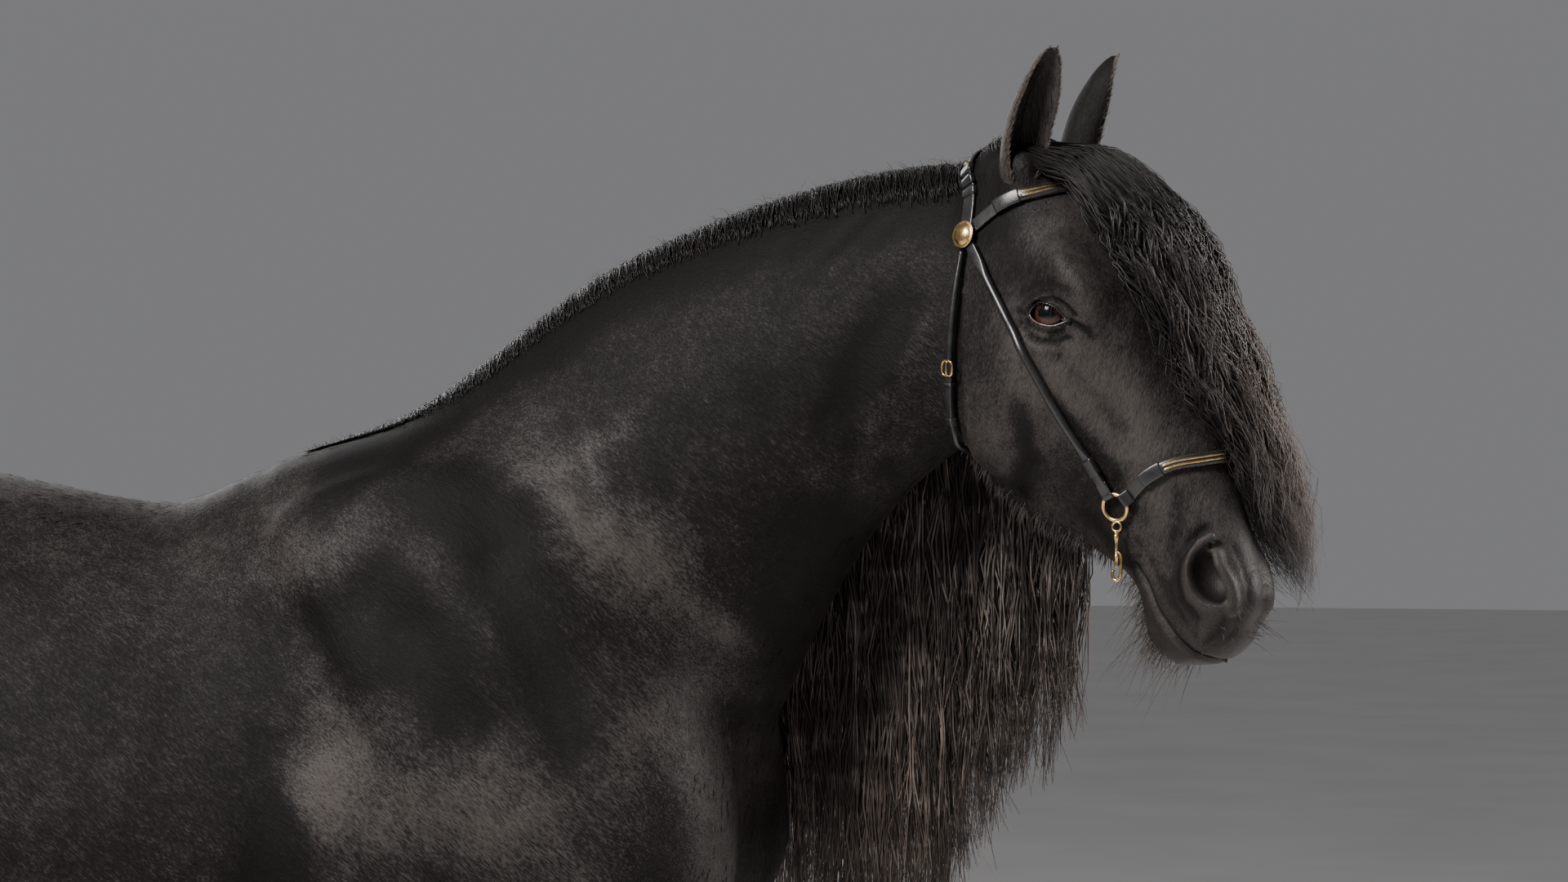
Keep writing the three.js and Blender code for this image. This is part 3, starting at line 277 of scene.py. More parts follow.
# muscles and bones, each with the width of its blend
bodyMasses = [
    (mass(190, 1315, 146, 262, 146, 66, -50), 170),
    (mass(-10, 1466, 40, 190, 86, 104, 8), 120),
    (mass(160, 1115, 185, 170, 150, 66, 15), 70),
    (mass(355, 1145, 142, 125, 175, 98), 80),
    (mass(342, 1090, 72, 108, 150, 80), 60),
    (mass(-850, 1400, 135, 270, 190, 155, -12), 80),
    (taper((-1085, 1370, 95, 92), (-985, 930, 140, 78)), 80),
    (mass(-735, 985, 165, 78, 92, 62, 20), 60),
    (taper((-1078, 575, 142, 30), (-1122, 662, 142, 21)), 18),
    (taper((-1122, 662, 142, 16), (-1010, 830, 146, 34)), 26),
    (taper((92, 985, 165, 40), (130, 900, 150, 45)), 50),
    (taper((-1085, 1500, 0, 34), (-1188, 1405, 0, 27)), 30),  # the dock, inside the hair of the tail
    (taper((-1188, 1405, 0, 27), (-1226, 1210, 0, 16)), 14),
]
faceMasses = [
    (faceMass(184, 10, 84, 48, 22, 30, 10), 30),
    (faceMass(255, -125, 58, 110, 84, 36, -8), 30),
    (faceTaper((235, -60, 92, 12), (385, -38, 58, 8)), 22),
    (faceTaper((240, 44, 0, 32), (500, 36, 0, 24)), 26),
    (faceMass(545, 12, 40, 42, 30, 24, 12), 20),
    (faceMass(550, 30, 16, 48, 32, 32), 26),
    (faceMass(590, -14, 0, 34, 40, 46), 24),
    (faceMass(575, -62, 0, 36, 26, 36), 16),
]
earMound = (taper((856, 1882, 56, 19), (864, 1912, 61, 21)), 18)

# the eye's slit runs along a, with b towards the forehead; its corners lie at a0 and a1
eye = {
    "u": 207, "w": -31, "v": 87, "radius": 21.6, "lid": 24.8, "along": (0.52, 0.85),
    "a0": -21.5, "a1": 29.5, "level": -3.6, "above": 14.2, "below": 9.8, "deepest": 82,
}
nostrilRim = [
    (500, 42, 52), (502, 30, 58), (511, 17, 61), (523, 9, 63), (537, 3, 63), (550, 1, 62), (564, 6, 60),
    (575, 19, 56), (582, 32, 50),
]
alarFold = [(519, 39, 48), (531, 39, 52), (545, 42, 52), (558, 43, 50), (572, 40, 48), (584, 34, 45)]
nostrilPit = {"u": 541, "w": 31, "v": 68, "long": 32, "high": 24, "deep": 29, "turn": 0, "front": 37}
mouthLine = [
    (493, -66, 44), (519, -57, 48), (551, -49, 47), (579, -38, 43), (597, -29, 36), (608, -22, 26),
    (614, -17, 12), (616, -15, 0),
]


def eyePlane(q, z):
    u, w = toFace(q, z)
    du, dw = u - eye["u"], w - eye["w"]
    c, s = eye["along"]
    return du * c + dw * s, -du * s + dw * c


def fromEyePlane(a, b):
    c, s = eye["along"]
    return face(eye["u"] + a * c - b * s, eye["w"] + a * s + b * c)


# the slit's upper and lower edge at a: powers of a half sine wave, blunt behind and pointed in front
def lidEdges(a):
    t = clip((a - eye["a0"]) / (eye["a1"] - eye["a0"]), 0, 1)
    sharp = mixed(0.62, 1.5, ease(t, 0.45, 1))
    upper = sin(pi * t ** 0.74) ** sharp
    lower = sin(pi * t ** 0.9) ** sharp
    return eye["level"] + eye["above"] * upper, eye["level"] - eye["below"] * lower


def chain(points, radius):
    return [faceTaper((*a, radius), (*b, radius)) for a, b in zip(points[:-1], points[1:])]


rimBars, foldBars = chain(nostrilRim, 5.8), chain(alarFold, 6.4)
pitField = faceMass(nostrilPit["u"], nostrilPit["w"], nostrilPit["v"], nostrilPit["long"],
                    nostrilPit["high"], nostrilPit["deep"], nostrilPit["turn"])


# lids, nostrils and the mound under each ear, given the plain skull's field
def faceDetail(f, q, side, z, open=True):
    f = joined(f, earMound[0](q, side, z), earMound[1])
    near = (q > 860) & (z > 1690) & (z < 1800) & (side > 50)
    if near.any():
        nq, ns, nz = q[near], side[near], z[near]
        a, b = eyePlane(nq, nz)
        ball = np.sqrt(a * a + b * b + (ns - eye["v"]) ** 2) - eye["lid"]
        g = joined(f[near], ball, 9)
        if open:
            upper, lower = lidEdges(a)
            half = (eye["a1"] - eye["a0"]) / 2
            ends = abs(a - eye["a0"] - half) - half
            slit = np.maximum.reduce([b - upper, lower - b, ends, eye["deepest"] - ns])
            g = carved(g, slit, 1.4)
        f[near] = g
    near = (q > 1000) & (z < 1560) & (z > 1340) & (side > 15)
    if near.any():
        nq, ns, nz = q[near], side[near], z[near]
        g = f[near]
        rim = np.minimum.reduce([bar(nq, ns, nz) for bar in rimBars])
        fold = np.minimum.reduce([bar(nq, ns, nz) for bar in foldBars])
        pit = maximum(pitField(nq, ns, nz), toFace(nq, nz)[1] - nostrilPit["front"])
        f[near] = joined(carved(joined(g, rim, 8), pit, 4), fold, 6)
    return f


# the whole horse without ears, hooves or long hair: below 0 inside the tips of its coat
def bodyField(q, v, z, open=True):
    side = abs(v)
    stride = pose["stride"]
    ahead = np.where(v < 0, stride["foreRight"], stride["foreLeft"])
    behind = np.where(v < 0, stride["hindRight"], stride["hindLeft"])
    lean = clip((pose["strideTop"] - z) / pose["strideTop"], 0, 1)
    leaned = q - np.where(q > -350, ahead, behind) * lean
    f = joined(trunkLoft(q, v, z), neckLoft(q, v, z), 70)
    f = joined(f, foreLoft(leaned, side, z), 45)
    f = joined(f, hindLoft(leaned, side, z), 55)
    ahead = leaned + 20 * np.tanh(v / 80) * ease(q, 150, 330) * ease(-z, -1500, -1300)
    for shape, blend in bodyMasses:
        f = joined(f, shape(ahead, side, z), blend)
    onHead = q > 640
    if onHead.any():
        hq, hs, hz = q[onHead], side[onHead], z[onHead]
        skull = headLoft(hq, hs, hz)
        for shape, blend in faceMasses:
            skull = joined(skull, shape(hq, hs, hz), blend)
        f[onHead] = faceDetail(joined(f[onHead], skull, 26), hq, hs, hz, open)
    return f


def closedField(q, v, z):
    return bodyField(q, v, z, open=False)


def inChunks(field, p, size=60000):
    return concatenate([field(*p[i:i + size].T) for i in range(0, len(p), size)])


def slopeOf(field, p, value, tiny=0.5):
    return stacked(*[(inChunks(field, p + tiny * np.eye(3)[i]) - value) / tiny for i in range(3)])


def unit(a):
    return a / maximum(np.linalg.norm(a, axis=-1, keepdims=True), 1e-9)


# points moved along the field's slope, found once, until the field has its level there
def settled(field, p, level, most, turns=3):
    value = inChunks(field, p)
    slope = slopeOf(field, p, value)
    for turn in range(turns):
        value = inChunks(field, p) if turn else value
        move = ((value - level) / maximum((slope ** 2).sum(1), 0.05))[:, None] * slope
        size = np.linalg.norm(move, axis=1)
        p = p - move * minimum(1, most / maximum(size, 1e-9))[:, None]
    return p, unit(slope)


# how far each ray runs from inside until the field passes a level, by halving
def reachOf(field, start, along, far, level=0.0, turns=13):
    near, out = np.zeros(len(start)), np.full(len(start), float(far))
    for _ in range(turns):
        half = (near + out) / 2
        inside = inChunks(field, start + along * half[:, None]) < level
        near, out = np.where(inside, half, near), np.where(inside, out, half)
    return (near + out) / 2


# places along an axis, spaced by the coarse step, and closer inside each zone: start, end, step, easing
def ticks(low, high, step, zones):
    at = [low]
    while at[-1] < high:
        now = step
        for start, end, fine, easing in zones:
            away = max(start - at[-1], at[-1] - end, 0) / easing
            now = min(now, fine + (step - fine) * min(away, 1))
        at.append(at[-1] + now)
    return np.array(at)


# The surface where a field is 0, as one vertex for each grid cell that it crosses and a quad for
# each crossed grid edge. Only blocks near the surface, found on a coarse grid, are worked out.
def netSurface(field, axes, block=4):
    shape = [(len(a) - 1) // block * block + 1 for a in axes]
    axes = [a[:s] for a, s in zip(axes, shape)]
    wide = [a[::block] for a in axes]
    grid = np.stack(np.meshgrid(*wide, indexing="ij"), -1)
    value = inChunks(field, grid.reshape(-1, 3)).reshape(grid.shape[:3])
    corners = [(slice(i, i - 1 or None), slice(j, j - 1 or None), slice(k, k - 1 or None))
               for i in (0, 1) for j in (0, 1) for k in (0, 1)]
    cell = np.stack([value[c] for c in corners])
    reach = 0.65 * np.linalg.norm(np.stack(np.meshgrid(*[np.diff(c) for c in wide], indexing="ij")), axis=0)
    blocks = np.argwhere((cell.min(0) < reach) & (cell.max(0) > -reach)) * block
    full = value.repeat(block, 0).repeat(block, 1).repeat(block, 2)[:shape[0], :shape[1], :shape[2]]
    need = np.zeros(shape, bool)
    for offset in np.ndindex(block + 1, block + 1, block + 1):
        need[tuple((blocks + offset).T)] = True
    at = np.argwhere(need)
    full[need] = inChunks(field, stacked(*[axes[k][at[:, k]] for k in range(3)]))
    inside = full < 0
    crossed = np.zeros([s - 1 for s in shape], bool)
    for c in corners[1:]:
        crossed |= inside[c] != inside[:-1, :-1, :-1]
    cells = np.argwhere(crossed)
    index = np.full(crossed.shape, -1)
    index[tuple(cells.T)] = np.arange(len(cells))
    total, count = np.zeros((len(cells), 3)), np.zeros(len(cells))
    steps = np.eye(3, dtype=int)
    for axis in range(3):
        one, other = np.delete(steps, axis, 0)
        for a, b in np.ndindex(2, 2):
            lo = cells + a * one + b * other
            hi = lo + steps[axis]
            f0, f1 = full[tuple(lo.T)], full[tuple(hi.T)]
            cross = (f0 < 0) != (f1 < 0)
            t = np.where(cross, f0 / np.where(cross, f0 - f1, 1), 0)
            place = stacked(*[axes[k][lo[:, k]] for k in range(3)])
            place[:, axis] += t * (axes[axis][hi[:, axis]] - axes[axis][lo[:, axis]])
            total += np.where(cross[:, None], place, 0)
            count += cross
    quads = []
    for axis in range(3):
        lo, hi = [slice(None)] * 3, [slice(None)] * 3
        lo[axis], hi[axis] = slice(0, -1), slice(1, None)
        edges = np.argwhere(inside[tuple(lo)] != inside[tuple(hi)])
        flip = inside[tuple(edges.T)]
        b, c = np.roll(steps, -axis - 1, 0)[:2]
        ring = stacked(*[index[tuple((edges + corner).T)] for corner in (-b - c, -c, 0 * b, -b)])
        quads.append(np.where(flip[:, None], ring, ring[:, ::-1]))
    spacing = np.min([np.diff(axes[k])[cells[:, k]] for k in range(3)], axis=0)
    return total / count[:, None], concatenate(quads), spacing


# A mesh object of points in straight space. Each set of faces is an array with one corner count,
# values are vertex attributes, and maps hold each point's place on a UV map.
def meshPiece(name, points, *faceSets, smooth=True, values=None, maps=None, bent=True):
    mesh = bpy.data.meshes.new(name)
    place = bendNeck(np.asarray(points, float)) if bent else np.asarray(points, float)
    corners = concatenate([np.asarray(f).ravel() for f in faceSets]).astype(np.int32)
    sizes = concatenate([np.full(len(f), np.asarray(f).shape[1]) for f in faceSets])
    starts = concatenate([[0], np.cumsum(sizes)[:-1]]).astype(np.int32)
    mesh.vertices.add(len(place))
    mesh.vertices.foreach_set("co", place.astype(np.float32).ravel())
    mesh.loops.add(len(corners))
    mesh.loops.foreach_set("vertex_index", corners)
    mesh.polygons.add(len(sizes))
    mesh.polygons.foreach_set("loop_start", starts)
    mesh.polygons.foreach_set("use_smooth", np.full(len(sizes), smooth))
    mesh.update(calc_edges=True)
    for key, value in (maps or {}).items():
        layer = mesh.uv_layers.new(name=key)
        layer.uv.foreach_set("vector", value[corners].astype(np.float32).ravel())
    for key, value in (values or {}).items():
        wide = np.asarray(value).ndim > 1
        layer = mesh.attributes.new(key, "FLOAT_VECTOR" if wide else "FLOAT", "POINT")
        layer.data.foreach_set("vector" if wide else "value", np.asarray(value, np.float32).ravel())
    piece = bpy.data.objects.new(name, mesh)
    bpy.context.scene.collection.objects.link(piece)
    return piece


# quads of a grid of rows, each with `around` points, its columns joined up where it is closed
def gridFaces(rows, around, closed=True):
    i = np.arange(rows - 1)[:, None] * around
    j = np.arange(around if closed else around - 1)[None, :]
    k = (j + 1) % around
    return stacked(i + j, i + k, i + around + k, i + around + j).reshape(-1, 4)


# faces of a closed tube of rings with one more point in the middle of each end, as quads and triangles
def tubeFaces(rows, around):
    j = np.arange(around)
    k, last = (j + 1) % around, (rows - 1) * around
    first = stacked(np.full(around, rows * around), k, j)
    end = stacked(np.full(around, rows * around + 1), last + j, last + k)
    return gridFaces(rows, around), concatenate([first, end])


# rings (rows, around, 3) as the points and faces of a closed tube whose faces point outwards
def tube(rings):
    rows, around = rings.shape[:2]
    points = concatenate([rings.reshape(-1, 3), [rings[0].mean(0), rings[-1].mean(0)]])
    quads, tris = tubeFaces(rows, around)
    middle = rings.mean((0, 1))
    a, b, c = (points[quads[:, k]] - middle for k in (0, 1, 2))
    if (np.cross(b, c) * a).sum() < 0:
        quads, tris = quads[:, ::-1], tris[:, ::-1]
    return points, quads, tris


def finish(piece, material, slot, *nodes):
    piece.data.materials.append(material)
    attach(piece, "root")
    if nodes:
        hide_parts(*nodes)
    return piece


# several closed tubes as one mesh object
def tubesPiece(name, tubes, **keywords):
    base = np.cumsum([0] + [len(points) for points, _, _ in tubes[:-1]])
    quads, tris = (concatenate([part[k] + b for part, b in zip(tubes, base)]) for k in (1, 2))
    return meshPiece(name, concatenate([part[0] for part in tubes]), quads, tris, **keywords)


# count unit vectors around an axis
def spokes(axis, count):
    axis = unit(np.asarray(axis, float))
    first = unit(np.cross(axis, (0.3, 0.1, 0.9)))
    t = circleAngles(count)[:, None]
    return first * cos(t) + np.cross(axis, first) * sin(t)


# a turned part: a profile of (radius, height) points spun about an axis
def turned(profile, count, middle, axis):
    r, h = np.asarray(profile, float).T[..., None, None]
    return tube(middle + spokes(axis, count) * r + unit(np.asarray(axis, float)) * h)


# a closed loop of round wire along a path that returns to its start
def loop(path, normal, wire, around=10):
    along = unit(np.roll(path, -1, 0) - np.roll(path, 1, 0))
    out = unit(np.broadcast_to(normal, path.shape) - along * (along @ np.asarray(normal, float))[:, None])
    across = np.cross(along, out)
    t = circleAngles(around)[:, None]
    ring = path[:, None] + wire * (across[:, None] * cos(t) + out[:, None] * sin(t))
    faces = gridFaces(len(path) + 1, around) % (len(path) * around)
    return ring.reshape(-1, 3), faces[:, ::-1], np.zeros((0, 3), int)


# the closed tube of a profile of (across, outwards) points carried along a path
def carried(path, out, profile):
    along = unit(np.gradient(path, axis=0))
    out = unit(out - along * (out * along).sum(1, keepdims=True))
    across = np.cross(along, out)
    return tube(path[:, None] + across[:, None] * profile[..., :1] + out[:, None] * profile[..., 1:])


# a flat strap's outline: a rounded box, its upper face crowned where it is padded
def strapProfile(wide, thick, crown=0.0, count=28):
    c, s = cos(circleAngles(count)), sin(circleAngles(count))
    x = np.sign(c) * abs(c) ** 0.28 * wide / 2
    y = np.sign(s) * abs(s) ** 0.4 * thick / 2
    return stacked(x, y + crown * (1 - (2 * x / wide) ** 2) * (y > 0))


def roundProfile(wide, count=14):
    t = circleAngles(count)
    return stacked(cos(t), sin(t)) * wide / 2


# Materials: a small language for shader trees. A socket's value is a number, a colour or another output.
class Finish:
    def __init__(self, name):
        self.material = bpy.data.materials.new(name)
        self.material.use_nodes = True
        self.tree = self.material.node_tree
        self.shader = self.tree.nodes["Principled BSDF"]

    def node(self, kind, sockets=(), **settings):
        node = self.tree.nodes.new("ShaderNode" + kind)
        for key, value in settings.items():
            setattr(node, key, value)
        for key, value in dict(sockets).items():
            self.put(node.inputs[key], value)
        return node

    def put(self, socket, value):
        if isinstance(value, bpy.types.NodeSocket):
            self.tree.links.new(value, socket)
        elif isinstance(value, tuple) and len(value) == 3 and socket.type == "RGBA":
            socket.default_value = (*value, 1)
        else:
            socket.default_value = value

    def set(self, **sockets):
        for key, value in sockets.items():
            self.put(self.shader.inputs[key.replace("_", " ")], value)

    def place(self):
        return self.node("TexCoord").outputs["Object"]

    def value(self, name, output="Fac"):
        return self.node("Attribute", attribute_name=name).outputs[output]

    def turned(self, source, turn=(0, 0, 0), size=(1, 1, 1)):
        first = self.node("Mapping", {"Vector": source, "Rotation": turn})
        return self.node("Mapping", {"Vector": first.outputs[0], "Scale": size}).outputs[0]

    def noise(self, source, scale, detail=2.0, rough=0.5):
        sockets = {"Vector": source, "Scale": scale, "Detail": detail, "Roughness": rough}
        return self.node("TexNoise", sockets).outputs["Fac"]

    def math(self, kind, a, b=0.0, c=0.0):
        return self.node("Math", {0: a, 1: b, 2: c}, operation=kind).outputs[0]

    def plus(self, a, b):
        return self.math("ADD", a, b)

    def times(self, a, b):
        return self.math("MULTIPLY", a, b)

    def span(self, value, low, high, toLow=0.0, toHigh=1.0):
        sockets = {"Value": value, "From Min": low, "From Max": high, "To Min": toLow, "To Max": toHigh}
        return self.node("MapRange", sockets).outputs[0]

    def blend(self, share, a, b):
        return self.node("Mix", {0: share, 6: a, 7: b}, data_type="RGBA").outputs[2]

    def either(self, share, a, b):
        return self.node("Mix", {0: share, 2: a, 3: b}, data_type="FLOAT").outputs[0]

    def bump(self, height, distance, strength=1.0, under=None):
        sockets = {"Height": height, "Distance": distance, "Strength": strength}
        if under is not None:
            sockets["Normal"] = under
        return self.node("Bump", sockets).outputs[0]


# The first three colours are the coat shaded, plain and lit: painted shade and light. The next two are the
# bare skin lit and shaded. pit is painted shade; lip is pale lip skin, also used for a painted highlight.
coatLook = {
    "deep": (0.0015, 0.0012, 0.0011), "plain": (0.0074, 0.0062, 0.0058), "bright": (0.053, 0.0458, 0.0425),
    "bare": (0.064, 0.055, 0.050), "bareShaded": (0.012, 0.010, 0.0093), "lip": (0.20, 0.15, 0.12),
    "pit": (0.003, 0.0022, 0.0022), "hairLength": 125, "hairWidth": 620, "bump": 0.0010,
}


# Short coat: noise stretched along the lie of the hair, which differs on body, head and legs, gives bumps
# and dashes of painted gloss in the colour. lit paints light and shade into the colour, bare shows the skin,
# dark paints shade.
def makeCoat():
    f = Finish("shortCoat")
    at = f.place()
    region = f.node("SeparateXYZ", {0: f.value("region", "Vector")})
    onHead, onLegs, bare = region.outputs[0], region.outputs[1], region.outputs[2]
    size = (coatLook["hairWidth"], coatLook["hairWidth"], coatLook["hairLength"])
    lies = [f.turned(at, (0, radians(t), radians(yaw)), tuple(finer * s for s in size))
            for t, yaw, finer in ((50, 0, 1.15), (-90 + pose["headPitch"] + 6, 20, 1.5), (4, 0, 1.0))]
    fine = [f.noise(lie, 1.0, 2.0, 0.55) for lie in lies]
    hairs = f.either(onLegs, f.either(onHead, fine[0], fine[1]), fine[2])
    tuftSize = tuple(s * 0.32 for s in size)
    rough = [f.noise(f.turned(at, (0, radians(t), 0), tuftSize), 1.0, 1.0) for t in (50, -16)]
    tufts = f.either(onHead, rough[0], rough[1])
    mottle = f.noise(at, 7.0, 3.0, 0.6)
    grain = f.noise(at, 46.0, 3.0, 0.6)
    lit = f.plus(f.value("lit"), f.span(mottle, 0.35, 0.7, -0.10, 0.10))
    lit = f.plus(lit, f.span(grain, 0.3, 0.7, -0.09, 0.09))
    dash = f.plus(f.span(hairs, 0.34, 0.68, -0.55, 0.55), f.span(tufts, 0.35, 0.65, -0.15, 0.15))
    light = f.plus(lit, f.times(dash, f.either(onHead, 0.50, 0.36)))
    # painted light and shade: the colour runs from the shaded copy of the coat through the plain one to the
    # lit one
    colour = f.blend(f.span(light, 0.05, 0.45), coatLook["deep"], coatLook["plain"])
    colour = f.blend(f.span(light, 0.45, 1.05), colour, coatLook["bright"])
    pores = f.noise(at, 900.0, 1.0)
    # the bare skin takes painted light and shade as well
    skinTone = f.blend(f.span(lit, 0.25, 1.0), coatLook["bareShaded"], coatLook["bare"])
    skinTone = f.blend(f.span(f.value("lip"), 0.25, 0.9), skinTone, coatLook["lip"])
    skinTone = f.blend(f.span(pores, 0.3, 0.7), skinTone, coatLook["plain"])
    colour = f.blend(f.span(bare, 0.15, 0.95, 0.0, 0.8), colour, skinTone)
    # painted shade in the nostrils, along the mouth's crease, about the eyes and inside the ears
    colour = f.blend(f.value("dark"), colour, coatLook["pit"])
    relief = f.plus(hairs, f.times(tufts, 0.9))
    hide = f.times(relief, f.span(bare, 0.2, 1.0, 1.0, 0.35))
    normal = f.bump(hide, coatLook["bump"], 0.75)
    f.set(Base_Color=colour, Normal=normal, Sheen_Weight=0.032, Sheen_Roughness=0.40,
          Sheen_Tint=(0.62, 0.56, 0.52), Specular_IOR_Level=0.14)
    f.set(Roughness=f.either(bare, f.span(light, 0.1, 0.9, 0.66, 0.50), 0.46))
    return f.material


hairLooks = {
    "longHair": {
        "dark": (0.0035, 0.003, 0.003), "brown": (0.042, 0.034, 0.030), "brownest": (0.12, 0.086, 0.068),
        "roughness": 0.42, "sheenBands": (11, 11, 24), "tilt": 0},
    # the mane's colours are lighter than the tail's: painted light on hair that hangs in the neck's shadow
    "maneHair": {
        "dark": (0.016, 0.0135, 0.0125), "brown": (0.165, 0.140, 0.126), "brownest": (0.26, 0.19, 0.155),
        "roughness": 0.42, "sheenBands": (16, 16, 30), "tilt": 0},
    "forelockHair": {
        "dark": (0.003, 0.0026, 0.0026), "brown": (0.040, 0.033, 0.029), "brownest": (0.20, 0.128, 0.096),
        "roughness": 0.40, "sheenBands": (70, 70, 34), "tilt": -28},
    "fineHairs": {
        "dark": (0.004, 0.0035, 0.0034), "brown": (0.030, 0.026, 0.024), "brownest": (0.12, 0.094, 0.076),
        "roughness": 0.5, "sheenBands": (60, 60, 22), "tilt": 0},
}


# Long hair: dark at the root, browner along the outer locks, every lock its own tone, with painted sheen in
# bands across the locks
def makeHair(name):
    f, look = Finish(name), hairLooks[name]
    tone, along = f.value("tone"), f.value("along")
    at = f.place()
    streak = f.noise(f.turned(at, (0, 0, 0), (900, 900, 60)), 1.0, 2.0)
    # painted sheen: light and dark bands across the locks stand for the highlights of crimped hair
    bands = f.noise(f.turned(at, (0, radians(look["tilt"]), 0), look["sheenBands"]), 1.0, 2.0, 0.55)
    share = f.times(f.span(tone, 0.2, 1.0), f.span(along, 0.06, 0.6, 0.12, 1.0))
    share = f.times(share, f.span(bands, 0.40, 0.62, 0.25, 1.5))
    colour = f.blend(f.times(share, f.span(streak, 0.3, 0.7, 0.6, 1.2)), look["dark"], look["brown"])
    tan = f.times(f.value("tan"), f.span(tone, 0.0, 0.8, 0.35, 1.0))
    colour = f.blend(tan, colour, look["brownest"])
    rough = look["roughness"]
    f.set(Base_Color=colour, Roughness=f.span(streak, 0.3, 0.7, rough - 0.06, rough + 0.1),
          Specular_IOR_Level=0.3)
    f.set(Normal=f.bump(streak, 0.0004, 0.5))
    return f.material


coatFinish = makeCoat()
hairFinish, maneFinish, forelockFinish, tuftFinish = (makeHair(name) for name in hairLooks)
print("finishes of coat and hair made")

# The skin's grid, in a space that is stretched to twice its width and height at the head, where the
# cells are then half as big as the body's. The zones are the eyes, nostrils and lips.
headGrid = {"from": 480, "to": 860, "share": 0.5, "level": 1960}
skinGrid = {
    "q": ticks(-1300, 1200, 15.4, [(840, 1150, 6.6, 300), (893, 954, 2.5, 36), (985, 1122, 3.4, 50)]),
    "v": ticks(-380, 380, 15.2, [(-234, -166, 5.4, 30), (166, 234, 5.4, 30),
                                 (-132, -76, 7, 20), (76, 132, 7, 20)]),
    "z": ticks(8, 2000, 15.4, [(1478, 1590, 5.2, 50), (776, 1050, 7, 50)]),
}

# the stretched space back to straight space: v times the share, z likewise about the head's top
def unstretched(q, v, z):
    share = mixed(1, headGrid["share"], ease(q, headGrid["from"], headGrid["to"]))
    return q, v * share, headGrid["level"] + (z - headGrid["level"]) * share


def stretchedField(q, v, z):
    return bodyField(*unstretched(q, v, z))


# places (a, b) along the eye's slit and towards the forehead as (u, w) of the head
def aroundSlit(points):
    a, b = np.array(points, float).T
    return list(zip(*toFace(*fromEyePlane(a, b))))


# creases of the face: points (u, w), depth and width; a depth below 0 is a ridge such as a vein
faceLines = [
    (aroundSlit([(-27, -4), (-20, 7), (-8, 14.2), (6, 17.4), (18, 15.6), (28, 10.5), (36, 4)]), 3.4, 2.1),
    (aroundSlit([(-34, -2), (-26, 13), (-12, 22), (4, 25)]), 1.6, 2.6),
    (aroundSlit([(30, -5), (38, -7.5), (47, -12), (56, -19)]), 2.4, 2.4),
    (aroundSlit([(-27, -6), (-20, -15), (-8, -20), (8, -21), (20, -17)]), 1.9, 2.4),
    (aroundSlit([(-36, -4), (-33, -16), (-22, -28), (-4, -34)]), 2.2, 3.4),
    (aroundSlit([(2, -30), (18, -28), (32, -22)]), 1.5, 2.6),
    ([(205, -62), (219, -59), (232, -49), (241, -36), (240, -20)], 2.0, 3.2),
    ([(212, -74), (232, -70), (250, -56), (256, -38)], 1.2, 4.0),
    ([(226, -6), (234, 0), (243, 8)], 1.6, 2.4),
    ([(176, -52), (174, -30), (180, -10), (194, 6)], 1.3, 5.0),
    ([(260, -36), (305, -21), (352, -7)], 1.2, 9.0), ([(300, -64), (350, -48), (398, -34)], 1.8, 8.0),
    ([(362, -47), (378, -21), (398, 6)], -0.9, 2.4), ([(378, -21), (400, -26), (420, -30)], -0.8, 2.2),
    ([(290, -16), (330, 4), (372, 10)], -0.7, 2.6), ([(367, -159), (344, -122), (292, -106)], 2.6, 11.0),
    ([(420, -96), (452, -84), (486, -72)], 1.6, 7.0), ([(486, -78), (494, -66), (497, -54)], 1.5, 2.6),
    ([(480, -72), (486, -60), (488, -48)], 1.2, 2.6),
    ([(488, 34), (497, 14), (512, -4), (532, -13), (556, -14), (577, -5)], 2.6, 4.0),
    ([(518, 55), (540, 58), (562, 57), (580, 50)], 2.0, 3.2),
    ([(440, 20), (470, 10), (500, -8)], 1.4, 7.0), ([(520, -30), (550, -30), (580, -20)], 1.0, 4.0),
    ([(582, 26), (592, 18), (600, 6), (604, -8)], 1.5, 2.6),
    ([(586, 36), (598, 28), (606, 16)], 1.2, 2.4), ([(566, -6), (582, -8), (596, -16)], 1.2, 3.0),
    ([(530, -22), (552, -24), (574, -20)], 0.9, 2.4), ([(470, -46), (500, -36), (530, -36)], 1.0, 3.0),
]
